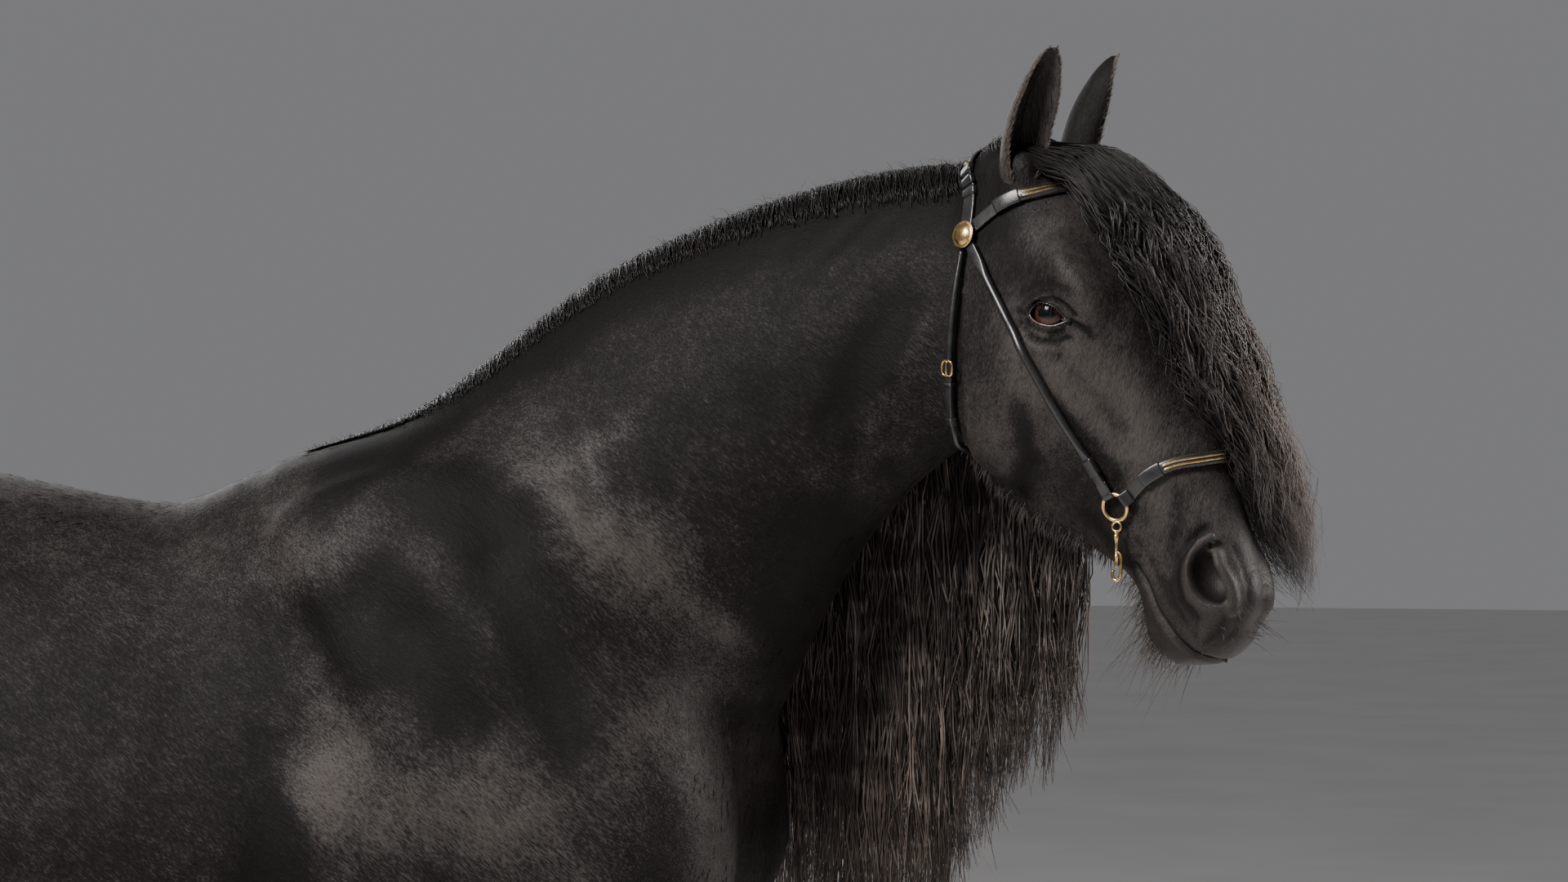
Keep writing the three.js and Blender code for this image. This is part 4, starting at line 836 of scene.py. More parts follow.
# folds and swellings of neck and trunk: places q, z, then depth, width and share on the left side
bodyLines = [
    (306, 1649, 341, 1619, 2.6, 12, 0.5), (286, 1627, 323, 1567, 345, 1516, 4.0, 11, 0.3),
    (341, 1619, 370, 1560, 392, 1500, 2.6, 9, 0.3), (424, 1571, 430, 1545, 437, 1510, 3.0, 8, 0.3),
    (459, 1542, 481, 1494, 498, 1445, 3.0, 9, 0.3), (484, 1553, 506, 1530, 551, 1500, 2.4, 9, 0.3),
    (558, 1831, 553, 1797, 562, 1757, 3.2, 9, 0.2), (654, 1862, 616, 1823, 585, 1785, 3.0, 9, 0.2),
    (690, 1850, 650, 1800, 630, 1760, 2.0, 10, 0.2), (524, 1680, 550, 1634, 3.0, 8, 0.2),
    (552, 1668, 564, 1630, 3.0, 7, 0.2), (660, 1610, 637, 1562, 630, 1515, 4.0, 10, 0.3),
    (745, 1725, 707, 1678, 668, 1618, -4.5, 13, 0.3), (690, 1580, 687, 1545, 663, 1510, 3.0, 8, 0.3),
    (706, 1600, 704, 1560, 690, 1520, -3.0, 9, 0.3), (712, 1760, 668, 1690, 640, 1630, 6.0, 26, 0.4),
    (225, 1585, 320, 1530, 420, 1460, 505, 1385, -4.0, 20, 0.7),
    (505, 1385, 528, 1270, 522, 1150, 510, 1076, -4.0, 17, 0.8),
    (225, 1450, 290, 1370, 345, 1250, 7.0, 34, 1.0), (120, 1530, 190, 1540, 240, 1490, 8.0, 34, 1.0),
    (15, 1385, 70, 1425, 126, 1390, 8.0, 36, 1.0), (126, 1390, 190, 1310, 240, 1280, 6.0, 30, 1.0),
    (-10, 1262, 120, 1238, 260, 1212, 2.4, 16, 1.0), (380, 1190, 300, 1120, 180, 1080, 3.0, 22, 1.0),
    (440, 1240, 470, 1150, 440, 1060, 4.0, 20, 1.0), (-30, 1250, -40, 1120, -10, 1000, 6.0, 34, 1.0),
    (-60, 1470, -40, 1350, -50, 1250, 4.0, 40, 1.0), (60, 985, 100, 930, 110, 880, 5.0, 22, 1.0),
    (-640, 1300, -690, 1180, -700, 1060, 8.0, 48, 1.0),
    (-560, 1520, -700, 1420, -760, 1300, 4.0, 40, 1.0),
    (-1010, 1300, -1000, 1150, -950, 1020, 5.0, 26, 1.0),
    (-640, 1010, -600, 930, -560, 900, 6.0, 40, 1.0), (120, 900, 150, 800, 165, 720, 3.0, 14, 1.0),
    (215, 880, 215, 780, 210, 700, 2.6, 12, 1.0), (-880, 900, -940, 800, -990, 730, 4.0, 18, 1.0),
    (-1110, 640, -1095, 520, -1095, 400, -2.0, 9, 1.0), (186, 400, 180, 320, 180, 250, -2.0, 8, 1.0),
    (150, 420, 150, 330, 150, 260, 3.0, 8, 1.0),
]
bodyRelief = 0.7
bodyLines = [(np.reshape(row[:-3], (-1, 2)), *row[-3:]) for row in bodyLines]
# ribs, faintly: q at the top and the bottom of each
ribs = [(-150 - 62 * i, -215 - 70 * i) for i in range(7)]
# painted light and shade on the coat, in patches: q, z, sizes along and across, tilt, share
litPatches = [
    (-300, 1500, 340, 60, -3, 0.16), (-300, 1330, 420, 90, 4, -0.12), (40, 1500, 110, 70, 20, 0.20),
    (-30, 1420, 40, 120, 10, 0.30), (20, 1230, 46, 130, 0, 0.40), (230, 1180, 260, 90, -12, 0.40),
    (470, 1290, 70, 110, -30, 0.38), (190, 1522, 62, 34, -20, -0.55), (74, 1400, 58, 56, 30, -0.58),
    (160, 1340, 90, 38, -45, -0.55), (290, 1370, 110, 36, -62, -0.52), (235, 1400, 34, 30, 0, 0.25),
    (300, 1540, 110, 60, -50, 0.26), (390, 1480, 120, 60, -52, 0.28), (345, 1600, 60, 22, 40, 0.35),
    (500, 1440, 90, 40, -60, 0.15), (380, 1740, 260, 45, 30, -0.06), (640, 1810, 130, 50, 10, -0.02),
    (500, 1670, 230, 110, 35, -0.16), (680, 1700, 70, 26, 55, -0.50), (650, 1560, 50, 40, 60, 0.16),
    (590, 1500, 60, 60, 0, -0.30), (540, 1330, 50, 130, 12, -0.55), (-20, 1120, 44, 70, 0, -0.45),
    (420, 1120, 60, 80, 0, -0.18), (-850, 1480, 230, 90, -10, 0.30), (-900, 1180, 160, 150, 0, 0.12),
    (-680, 1080, 60, 140, 10, -0.30), (-400, 900, 420, 60, 0, -0.30), (150, 880, 70, 90, 0, 0.15),
]
# the same on the head: u, w, sizes along u and w, share
facePatches = [
    (290, -30, 80, 36, 0.50), (245, -74, 60, 28, 0.42), (330, 10, 60, 22, 0.36), (200, 20, 36, 20, 0.30),
    (300, -110, 70, 40, 0.22), (215, -64, 26, 16, 0.20), (410, 0, 40, 30, 0.22), (120, 0, 40, 30, 0.12),
    (150, -44, 22, 22, -0.35), (180, -150, 120, 60, -0.05), (400, -70, 60, 40, -0.28),
    (350, -110, 40, 30, -0.12), (455, 0, 40, 26, 0.20), (500, -40, 40, 24, 0.25),
    (480, 46, 60, 14, 0.22), (60, -60, 50, 50, -0.35), (590, 0, 24, 30, 0.15), (330, -160, 60, 30, 0.10),
]


# the line between the lips, laid just under the skin
mouthPath = settled(closedField, smoothCurve(onFace(mouthLine), 26), -1.0, 12.0, 8)[0]


# distance from each point (n, d) to a chain of points
def awayFrom(p, line):
    line = np.asarray(line, float)
    best = np.full(len(p), np.inf)
    for a, b in zip(line[:-1], line[1:]):
        t = clip((p - a) @ (b - a) / ((b - a) @ (b - a)), 0, 1)[:, None]
        best = minimum(best, ((p - a - t * (b - a)) ** 2).sum(1))
    return np.sqrt(best)


def bell(x, width):
    return np.exp(-(x / width) ** 2)


# Creases and swellings in millimetres along the skin's normal, at points (q, v, z):
# for each line, minus its depth times a bell of the distance to it
def reliefAt(p):
    q, v, z = p.T
    u, w = toFace(q, z)
    side = abs(v)
    rise = np.zeros(len(p))
    head = (u > 20) & (q > 760)
    uw, place = stacked(u, w)[head], stacked(q, side, z)[head]
    for line, depth, width in faceLines:
        rise[head] -= depth * ease(side[head], 24, 40) * bell(awayFrom(uw, line), width)
    rise[head] -= 4.4 * bell(awayFrom(place, mouthPath), 3.6)
    rise[head] += 1.4 * bell(awayFrom(place, mouthPath + (-4.0, 0, -8.5)), 6.0)
    body = ~head | (u < 60)
    qz, outer = stacked(q, z)[body], ease(side[body], 22, 60)
    for line, depth, width, left in bodyLines:
        share = bodyRelief * outer * np.where(v[body] < 0, 1.0, left)
        rise[body] -= depth * share * bell(awayFrom(qz, line), width)
    for top, bottom in ribs:
        away = awayFrom(qz, [(top, 1370), (mixed(top, bottom, 0.5) + 14, 1180), (bottom, 960)])
        rise[body] -= 0.7 * outer * bell(away, 15)
    lump = sin(q / 37 + 1.3 * sin(z / 61)) * sin(z / 43 + 1.1 * sin(q / 53 + v / 40))
    return rise + 0.7 * lump * ease(side, 20, 80) * np.where(head, 0.4, 1.0)


# painted light and shade, a share from 0 to 1: the two lists of patches, painted shade under the mane's
# roots and along creases, painted highlights along ridges and on the nostrils' rim and fold
def litAt(p):
    q, v, z = p.T
    u, w = toFace(q, z)
    wq = q + 16 * sin(z / 31 + 2 * sin(q / 45)) + 7 * sin(z / 11 + q / 17)
    wz = z + 14 * sin(q / 27 + 2 * sin(z / 38)) + 6 * sin(q / 10 - z / 15)
    body = (q < 800) | (u < 30)
    share = np.where(body, 0.41, 0.56)
    crest = interp(wq, *np.array(neckRows)[:, :2].T)
    # painted shadow of the mane's roots on the neck below the crest
    share -= 0.60 * ease(z - crest, -104, -48) * ease(q, -60, 60) * (q < 860)
    for cq, cz, along, across, tilt, amount in litPatches:
        c, s = cos(radians(tilt)), sin(radians(tilt))
        x = ((wq - cq) * c + (wz - cz) * s) / along
        y = (-(wq - cq) * s + (wz - cz) * c) / across
        share += amount * np.exp(-(x * x + y * y) ** 1.3) * body
    for cu, cw, along, across, amount in facePatches:
        share += amount * np.exp(-((u - cu) / along) ** 2 - ((w - cw) / across) ** 2) * ~body
    # painted shade along creases and folds, painted light along ridges whose depth is below 0
    for where, place, lines, amount in ((~body, stacked(u, w), faceLines, 0.20),
                                        (body, stacked(q, z), bodyLines, 0.045)):
        for line, depth, width, *_ in lines:
            share[where] -= amount * depth * bell(awayFrom(place[where], line), 1.2 * width)
    # painted highlights on the nostril's rim and fold
    onNose = stacked(q, abs(v), z)[~body]
    for line in (nostrilRim, alarFold):
        share[~body] += 0.50 * bell(awayFrom(onNose, onFace(line)), 7.0)
    return clip(share, 0, 1)


ear = {
    # level, q, v, half-length, half-width, half the angle of the opening, twist of the opening
    "rows": [
        (1872, 855, 55, 16, 16, 8, 10), (1890, 859, 58, 21, 21, 22, 12), (1915, 864, 62, 25, 23, 50, 16),
        (1950, 873, 66, 28, 22, 66, 20), (1988, 888, 70, 28, 18, 74, 24),
        (2020, 902, 74, 20.5, 12.5, 82, 28),
        (2036, 909, 77, 12.5, 7.4, 88, 32), (2043, 913, 78.3, 6.0, 3.6, 90, 34),
    ],
    "thick": 3.2, "levels": 34, "around": 20, "farShift": (8, 8, 6), "farLean": -0.07, "opensTo": 62,
}


# A cup of skin on each level: an arc of an ellipse that leaves an opening, out along its outer
# face and back along its inner one. opensTo is the opening's direction from forwards to sideways.
def earRings(side):
    rows = rowsAlong(ear["rows"], 6)
    at = linspace(0, 1, len(rows))
    level = linspace(0, 1, ear["levels"])
    z, q, v, a, b, open, twist = (interp(level, at, row)[:, None] for row in rows.T)
    t = linspace(0, 1, ear["around"])
    angle = np.radians(ear["opensTo"] - twist + open) + 2 * (pi - np.radians(open)) * t
    thick = minimum(ear["thick"] * (0.45 + 0.55 * sin(pi * t) ** 0.35), 0.45 * minimum(a, b))
    c, s = cos(angle), sin(angle)
    outer, inner = (stacked(q + (a - less) * c, v + (b - less) * s, z) for less in (0, thick))
    ring = concatenate([outer, inner[:, ::-1]], 1)
    if side > 0:
        ring += np.array(ear["farShift"], float)
        ring[..., 0] += ear["farLean"] * (ring[..., 2] - ear["rows"][0][0])
    ring[..., 1] *= side
    return ring


# the surface of the body's field as one net, with its creases, and the ears as closed cups in it
def makeSkin():
    p, quads, spacing = netSurface(stretchedField, [skinGrid[k] for k in "qvz"])
    p = stacked(*unstretched(*p.T))
    depth = np.where(p[:, 0] > 800, coatDepth["face"], coatDepth["body"])
    p, normal = settled(bodyField, p, -depth, spacing / 2)
    points, faces, ends = [p + reliefAt(p)[:, None] * normal], [quads], []
    for side in (-1, 1):
        more, sides, caps = tube(earRings(side))
        base = sum(len(x) for x in points)
        points.append(more)
        faces.append(sides + base)
        ends.append(caps + base)
    print("skin:", sum(len(x) for x in faces), "quads")
    return concatenate(points), concatenate(faces), concatenate(ends), normal


skinPoints, skinQuads, skinCaps, skinNormal = makeSkin()


# region: head, legs and bare skin, each 0 to 1; dark: nostrils and the ears' insides; lip: the lips'
# edge. The points from earFrom on are the two ears'.
def skinValues(p, earFrom):
    q, v, z = p.T
    u, w = toFace(q, z)
    side = abs(v)
    place = stacked(q, side, z)
    head = ease(q + (z - 1600) * 0.08, 770, 850) * (z > 1300)
    fromEye = hypot(*eyePlane(q, z))
    bare = clip(0.75 * ease(u, 470, 560) * head + 0.15 * bell(fromEye, 30) * (side > 60) * head, 0, 1)
    # lip: the lower lip's pale skin, and a painted highlight along the front of the upper lip
    lip = bell(awayFrom(place, mouthPath + (-4.0, 0, -8.0)), 8) * ease(u, 500, 560)
    frontLipHighlight = bell(awayFrom(place, onFace([(560, 64, 0), (590, 48, 0), (612, 22, 0)])), 7)
    # dark is painted shade in the nostril's pit, along the mouth's crease and about the eye
    pit = nostrilPit
    inside = ((u - pit["u"]) / pit["long"]) ** 2 + ((w - pit["w"]) / pit["high"]) ** 2
    inside += ((side - pit["v"]) / 26) ** 2
    dark = (1 - ease(inside, 1.1, 1.4)) * (1 - ease(side, 54, 62)) * mixed(0.86, 1, ease(w, 14, 24)) * head
    dark = dark * (1 - ease(w, 31, 35)) * (side > 30)
    dark = maximum(dark, 0.92 * bell(awayFrom(place, mouthPath), 2.4) * (u > 486))
    dark = maximum(dark, 0.9 * (fromEye < 27) * (side < 101) * (side > 70) * head)
    k, n = np.arange(len(p)) - earFrom, ear["around"]
    within = k % (ear["levels"] * 2 * n + 2)
    inner = (k >= 0) & (within < ear["levels"] * 2 * n) & (within % (2 * n) >= n)
    # painted light and shade on the ears: the near ear lit, the far one shaded, and painted shade inside
    # each cup, darker lower down
    lit = np.where(k >= 0, np.where(v > 0, 0.22, 0.74), litAt(p))
    dark = np.where(inner, 0.26 * ease(2050 - z, 10, 60), dark)
    lip = clip(maximum(lip * 0.46, 0.5 * frontLipHighlight), 0, 1)
    region = stacked(head, ease(-z, -860, -700), np.where(k >= 0, 0.0, bare))
    return {"region": region, "dark": dark, "lit": lit, "lip": lip}


skin = meshPiece("skin", skinPoints, skinQuads, skinCaps, values=skinValues(skinPoints, len(skinNormal)))
fleshNodes = [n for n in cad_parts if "leg_" in n or n.startswith("ear_")] + ["head", "neck", "trunk"]
finish(skin, coatFinish, "coat", *fleshNodes)
print("skin made")


eyeLook = {"iris": (0.024, 0.0072, 0.0040), "rim": (0.004, 0.002, 0.0018), "pupil": (0.001, 0.0016, 0.0035),
           "white": (0.045, 0.028, 0.026), "irisSize": 0.90, "pupilLong": 0.52, "pupilHigh": 0.30}


# The eyeball: colour by the distance from its axis, a lying oval pupil and fine rays in the iris
def makeEyeFinish():
    f, look = Finish("eyeball"), eyeLook
    parts = f.node("SeparateXYZ", {0: f.value("gaze", "Vector")}).outputs

    def size(x, y):
        return f.math("SQRT", f.plus(f.times(x, x), f.times(y, y)))

    r = size(parts[0], parts[1])
    oval = size(*[f.math("DIVIDE", parts[k], look[key]) for k, key in enumerate(("pupilLong", "pupilHigh"))])
    turn = f.math("ARCTAN2", parts[1], parts[0])
    rays = f.noise(f.node("CombineXYZ", {0: turn, 1: r}).outputs[0], 9.0, 3.0)
    iris = f.blend(f.span(rays, 0.3, 0.7), look["iris"], tuple(c * 2.4 for c in look["iris"]))
    iris = f.blend(f.span(r, 0.55, look["irisSize"]), iris, look["rim"])
    colour = f.blend(f.span(oval, 0.9, 1.08), look["pupil"], iris)
    colour = f.blend(f.span(r, look["irisSize"] - 0.02, look["irisSize"] + 0.05), colour, look["white"])
    f.set(Base_Color=colour, Roughness=0.2, Specular_IOR_Level=0.2, Coat_Weight=0.8, Coat_Roughness=0.02,
          Coat_IOR=1.33)
    return f.material


def makeMoist(name, gloss):
    f = Finish(name)
    wet = f.noise(f.place(), 260.0, 2.0)
    colour = f.blend(f.value("pale"), (0.004, 0.003, 0.003), (0.20, 0.16, 0.15))
    colour = f.blend(f.span(wet, 0.3, 0.7, 0.0, gloss), colour, (0.03, 0.022, 0.02))
    f.set(Base_Color=colour, Roughness=mixed(0.62, 0.3, gloss), Specular_IOR_Level=mixed(0.12, 0.5, gloss),
          Coat_Weight=0.25 * gloss, Coat_Roughness=0.12, Normal=f.bump(wet, 0.0006, 0.4))
    return f.material


eyeFinish, moistFinish, mouthShadeFinish = makeEyeFinish(), makeMoist("moistRim", 1.0), makeMoist("mouthShadeLine", 0.0)


def sideName(name, side):
    return name + ("_left" if side > 0 else "_right")


# a ball with its pole on the axis of sight, and gaze holding the place across that axis
def makeEye(side):
    t, turn = linspace(0.02, pi - 0.02, 26)[:, None], circleAngles(36)
    gaze = stacked(sin(t) * cos(turn), sin(t) * sin(turn), cos(t))
    a, b, out = np.moveaxis(gaze, -1, 0) * eye["radius"]
    q, z = fromEyePlane(a, b)
    points, quads, tris = tube(stacked(q, side * (eye["v"] + out), z))
    gaze[gaze[..., 2] < 0] = (1, 1, 0)
    gaze = concatenate([gaze.reshape(-1, 3), [(0, 0, 1), (1, 1, 0)]])
    # the gaze looks a little forwards of straight out
    gaze[:, 0] -= 0.06
    name = sideName("eye", side)
    finish(meshPiece(name + "_ball", points, quads, tris, values={"gaze": gaze}), eyeFinish, "eye", name)


lidRim = {"around": 8, "steps": 46, "upper": 1.7, "lower": 1.1}


# the lids' moist margin, a closed tube that follows the slit, and the small fleshy corner in front
def makeLidRim(side):
    steps, inCorner = lidRim["steps"], eye["a1"] - 7.5
    a = mixed(eye["a0"], eye["a1"], (1 - cos(pi * linspace(0, 1, steps))) / 2)
    upper, lower = lidEdges(a)
    q, z = fromEyePlane(concatenate([a, a[-2:0:-1]]), concatenate([upper, lower[-2:0:-1]]))
    out = 60 + reachOf(closedField, stacked(q, 60.0, z), sideways, 70, level=-coatDepth["face"])
    k = np.arange(len(q))
    isLower = (k >= steps).astype(float)
    swell = 0.6 + 0.4 * sin(pi * (k % steps) / steps) ** 0.5
    wire = mixed(lidRim["upper"], lidRim["lower"], isLower) * swell
    rim = loop(stacked(q, side * (out - 1.3), z), (0, side, 0), wire[:, None, None], lidRim["around"])
    # the lower lid's rim is paler: partly its own wet waterline, partly a painted highlight
    pale = 0.6 * isLower * ease(sin(pi * (k - steps) / (len(k) - steps)), 0.1, 0.6)
    pale = np.repeat(pale, lidRim["around"])
    finish(meshPiece(sideName("lidRim", side), *rim, values={"pale": pale}), moistFinish, "coat")
    t, turn = linspace(0.05, pi - 0.05, 8)[:, None], circleAngles(12)
    q, z = fromEyePlane(inCorner + 4.6 * cos(t), eye["level"] + 0.2 + 2.1 * sin(t) * cos(turn))
    points, quads, tris = tube(stacked(q, side * (100.5 + 2.0 * sin(t) * sin(turn)), z))
    pale = np.full(len(points), 0.25)
    piece = meshPiece(sideName("tearCorner", side), points, quads, tris, values={"pale": pale})
    finish(piece, moistFinish, "coat")


for side in (-1, 1):
    makeEye(side)
    makeLidRim(side)


# painted shade in the crease between the lips: a near-black tube from corner to corner, thickest in front
def makeMouthShadeLine():
    path = settled(closedField, mouthPath, -5.2, 12.0, 6)[0][:-1]
    path = concatenate([path, mouthPath[-1:] * (1, 0, 1), path[::-1] * (1, -1, 1)])
    out = unit(np.cross(unit(np.gradient(path, axis=0)), (0.3, 0.1, 0.9)))
    radius = 1.5 * sin(pi * linspace(0.04, 0.96, len(path))) ** 0.5
    line = carried(path, out, roundProfile(2, 8)[:, ::-1] * radius[:, None, None])
    finish(meshPiece("mouthShadeLine", *line, values={"pale": np.zeros(len(line[0]))}), mouthShadeFinish, "coat")


makeMouthShadeLine()
print("eyes made")


hoof = {"toe": 86, "heel": 44, "front": 84, "rear": 64, "half": 69, "topFront": 26, "topRear": 80,
        "topHalf": 58, "around": 56, "levels": 22, "ringDepth": 0.55}


def makeHornFinish():
    f = Finish("hoofHorn")
    at = f.place()
    fibres = f.noise(f.turned(at, (0, 0, 0), (420, 420, 26)), 1.0, 3.0)
    bands = f.noise(f.turned(at, (0, radians(-18), 0), (4, 4, 120)), 1.0, 2.0)
    tone = f.plus(f.times(fibres, 0.6), f.times(bands, 0.4))
    colour = f.blend(f.span(tone, 0.35, 0.65), (0.014, 0.012, 0.011), (0.060, 0.048, 0.038))
    worn = f.span(f.value("low"), 0.0, 1.0)
    colour = f.blend(f.times(worn, f.span(fibres, 0.3, 0.6)), colour, (0.11, 0.09, 0.07))
    normal = f.bump(tone, 0.0012, 0.6)
    f.set(Base_Color=colour, Roughness=f.span(fibres, 0.3, 0.7, 0.34, 0.55), Normal=normal)
    return f.material


# plan of a hoof at one level: an ellipse in front, a blunter one behind
def hoofPlan(turn, middle, rear, front, half):
    c = cos(turn)
    return middle + np.where(c > 0, front * c, -rear * abs(c) ** 0.75), half * sin(turn)


# the wall runs straight from the sole's plan to the crown's, with growth rings and a rounded foot
def makeHoof(end, side, at, offset):
    turn, q0, h = circleAngles(hoof["around"]), at[0] + offset, hoof
    sole = hoofPlan(turn, q0, h["rear"], h["front"], h["half"])
    topHalf = (h["topFront"] + h["topRear"]) / 2
    crown = hoofPlan(turn, q0 + (h["topFront"] - h["topRear"]) / 2, topHalf, topHalf, h["topHalf"])
    rise = mixed(h["heel"], h["toe"], (crown[0] - q0 + h["topRear"]) / (2 * topHalf))
    t = linspace(0, 1, h["levels"])[:, None]
    grown = h["ringDepth"] * (sin(t * 34) + 0.5 * sin(t * 71 + 1)) * sin(pi * t)
    foot = 1 - 0.025 * (1 - ease(t, 0, 0.06))
    q = q0 + (mixed(sole[0], crown[0], t) + grown * cos(turn) - q0) * foot
    v = (mixed(sole[1], crown[1], t) * (1 + 0.2 * t * (1 - t)) + grown * sin(turn)) * foot
    ring = stacked(q, side * at[1] + v, rise * t)
    # the crown is turned in to close the top under the hair
    inward = stacked(mixed(ring[-1, :, 0], q0 - 27, 0.25), side * at[1] + v[-1] * 0.75, ring[-1, :, 2] + 2)
    points, quads, tris = tube(concatenate([ring, inward[None]]))
    name = sideName("hoof_" + end, side)
    low = 1 - ease(points[:, 2], 2, 26)
    finish(meshPiece(name + "_horn", points, quads, tris, values={"low": low}), hornFinish, "hoof", name)


hornFinish = makeHornFinish()
legs = [("fore", -1, "foreHoof", "foreRight"), ("fore", 1, "foreHoof", "foreLeft"),
        ("hind", -1, "hindHoof", "hindRight"), ("hind", 1, "hindHoof", "hindLeft")]
for end, side, foot, step in legs:
    makeHoof(end, side, pose[foot], pose["stride"][step])
print("hooves made")


bridle = {
    "thick": 3.4, "flat": 17, "band": 15, "rolled": 9.5, "lift": 0.6,
    "headpiece": [(66, -103, -95), (27, -94, -88), (-8, -89, -60), (-20, -84, -30), (-23, -82, 0)],
    "browband": [(71, -92, -97), (66, -54, -94), (66, -25, -88), (69, 2, -74), (73, 24, -44), (74, 34, 0)],
    "noseband": [(427, -36, -64), (414, -6, -60), (410, 26, -54), (415, 54, -34), (418, 62, 0)],
    "cheekpiece": [(95, -99, 98), (160, -84, 104), (239, -68, 104), (330, -59, 80), (407, -53, 66)],
    "throatlatch": [(94, -114, -98), (150, -143, -97), (213, -176, -92), (262, -202, -84),
                    (290, -218, -72), (306, -231, -40), (308, -240, 0)],
    "rosette": (76, -106, 98), "ring": (431, -52, 66), "ringRadius": 15, "wire": 2.6,
    "buckle": (213, -176, -94),
}


def makeLeatherFinish():
    f = Finish("blackLeather")
    at = f.place()
    cells = f.node("TexVoronoi", {"Vector": at, "Scale": 1500.0}).outputs["Distance"]
    crease = f.noise(at, 240.0, 4.0, 0.6)
    worn = f.noise(at, 38.0, 3.0)
    colour = f.blend(f.span(worn, 0.35, 0.7), (0.006, 0.006, 0.007), (0.016, 0.015, 0.016))
    colour = f.blend(f.times(f.value("edge"), f.span(crease, 0.3, 0.6)), colour, (0.060, 0.050, 0.044))
    height = f.plus(f.times(cells, 0.5), crease)
    f.set(Base_Color=colour, Roughness=f.span(worn, 0.3, 0.7, 0.26, 0.42), Specular_IOR_Level=0.6,
          Coat_Weight=0.25, Coat_Roughness=0.25, Normal=f.bump(height, 0.0003, 0.5))
    return f.material


def makeBrassFinish():
    f = Finish("brass")
    at = f.place()
    cloud = f.noise(at, 120.0, 3.0)
    scratch = f.noise(f.turned(at, (0.3, 0.5, 0.2), (300, 2400, 300)), 1.0, 2.0)
    colour = f.blend(f.span(cloud, 0.35, 0.7), (0.80, 0.56, 0.26), (0.52, 0.33, 0.13))
    f.set(Base_Color=colour, Metallic=1.0, Roughness=f.span(scratch, 0.3, 0.7, 0.16, 0.34),
          Normal=f.bump(scratch, 0.0002, 0.35))
    return f.material


def makeThreadFinish():
    f = Finish("waxedThread")
    twist = f.node("TexWave", {"Vector": f.place(), "Scale": 900.0, "Distortion": 2.0}).outputs["Fac"]
    f.set(Base_Color=f.blend(twist, (0.020, 0.018, 0.017), (0.06, 0.055, 0.05)), Roughness=0.6,
          Normal=f.bump(twist, 0.0002, 0.5))
    return f.material


leatherFinish, brassFinish, threadFinish = makeLeatherFinish(), makeBrassFinish(), makeThreadFinish()


# a strap's middle line on the skin: seeds settled above it, then evenly spaced and settled again
def onSkin(points, lift, count):
    seeds, _ = settled(closedField, onFace(points), lift, 12.0, 8)
    path, _ = settled(closedField, smoothCurve(seeds, count), lift, 6.0, 5)
    return path, unit(slopeOf(closedField, path, inChunks(closedField, path)))


# one place on the skin and the direction out of it; u, w, v is a point of the face's right side
def placeOnSkin(point, side, lift):
    u, w, v = point
    path, out = onSkin([(u, w, side * abs(v)), (u + 1, w, side * abs(v))], lift, 2)
    return path[0], out[0]


def both(points):
    return points + [(u, w, -v) for u, w, v in points[-2::-1]]


# A row of stitches on each side of a strap: short bars along it, each a small closed tube.
def stitches(name, path, out, offset, height, spacing, long):
    along = unit(np.gradient(path, axis=0))
    at = concatenate([[0], np.cumsum(np.linalg.norm(np.diff(path, axis=0), axis=1))])
    t = linspace(0, 1, 4)
    where = np.arange(spacing, at[-1] - spacing, spacing)[:, None] + long * (t - 0.5)
    p, o, d = (stacked(*[interp(where, at, row) for row in line.T]) for line in (path, out, along))
    d = unit(d)
    o = unit(unit(o) - d * (unit(o) * d).sum(-1, keepdims=True))
    across = np.cross(d, o)
    radius = 0.32 * np.array([0.5, 1, 1, 0.5])[:, None, None]
    turn = circleAngles(5)[:, None]
    ring = p[:, :, None] + radius * (across[:, :, None] * cos(turn) + o[:, :, None] * sin(turn))
    n, rows, around = ring.shape[:3]
    base = (np.arange(n) * rows * around)[:, None, None]
    quads = (tubeFaces(rows, around)[0][:, ::-1] + base).reshape(-1, 4)
    ends = stacked(np.arange(around), np.arange(around)[::-1] + (rows - 1) * around).T
    ends = (ends + base).reshape(-1, around)
    for suffix, shift in (("A", -offset), ("B", offset)):
        moved = across * shift + o * (height + 0.35 * sin(pi * t) - 0.25)[:, None]
        piece = meshPiece(name + suffix, (ring + moved[:, :, None]).reshape(-1, 3), quads, ends)
        finish(piece, threadFinish, "leather")


def brassPiece(name, tubes, *nodes):
    finish(tubesPiece(name, tubes), brassFinish, "brass", *nodes)


# leather parts; worn is the profile of a strap whose edges are worn
def leatherPiece(name, tubes, *nodes, worn=None):
    edge = np.zeros(sum(len(part[0]) for part in tubes))
    if worn is not None:
        across = abs(worn[:, 0])
        edge[:-2] = np.tile(ease(across / across.max(), 0.86, 1.0), (len(edge) - 2) // len(worn))
    finish(tubesPiece(name, tubes, values={"edge": edge}), leatherFinish, "leather", *nodes)


def makeHeadpiece():
    b = bridle
    path, out = onSkin(both(b["headpiece"]), b["thick"] / 2 + b["lift"], 120)
    flat = strapProfile(b["flat"], b["thick"])
    leatherPiece("headpieceStrap", [carried(path, out, flat)], "headpiece", worn=flat)
    stitches("headpieceStitches", path, out, 6.6, b["thick"] / 2, 3.4, 2.3)
    # keeper loops near each end, and the small brass tip of the strap
    keeper = strapProfile(b["flat"] + 4.4, b["thick"] + 4.2)
    leatherPiece("headpieceKeepers", [carried(path[k:k + 5], out[k:k + 5], keeper)
                                      for k in (16, 22, 28, -17, -23, -29)])
    tip = strapProfile(6.0, 8.4)
    brassPiece("headpieceTips", [carried(path[k:k + 3], out[k:k + 3], tip) for k in (33, -36)])


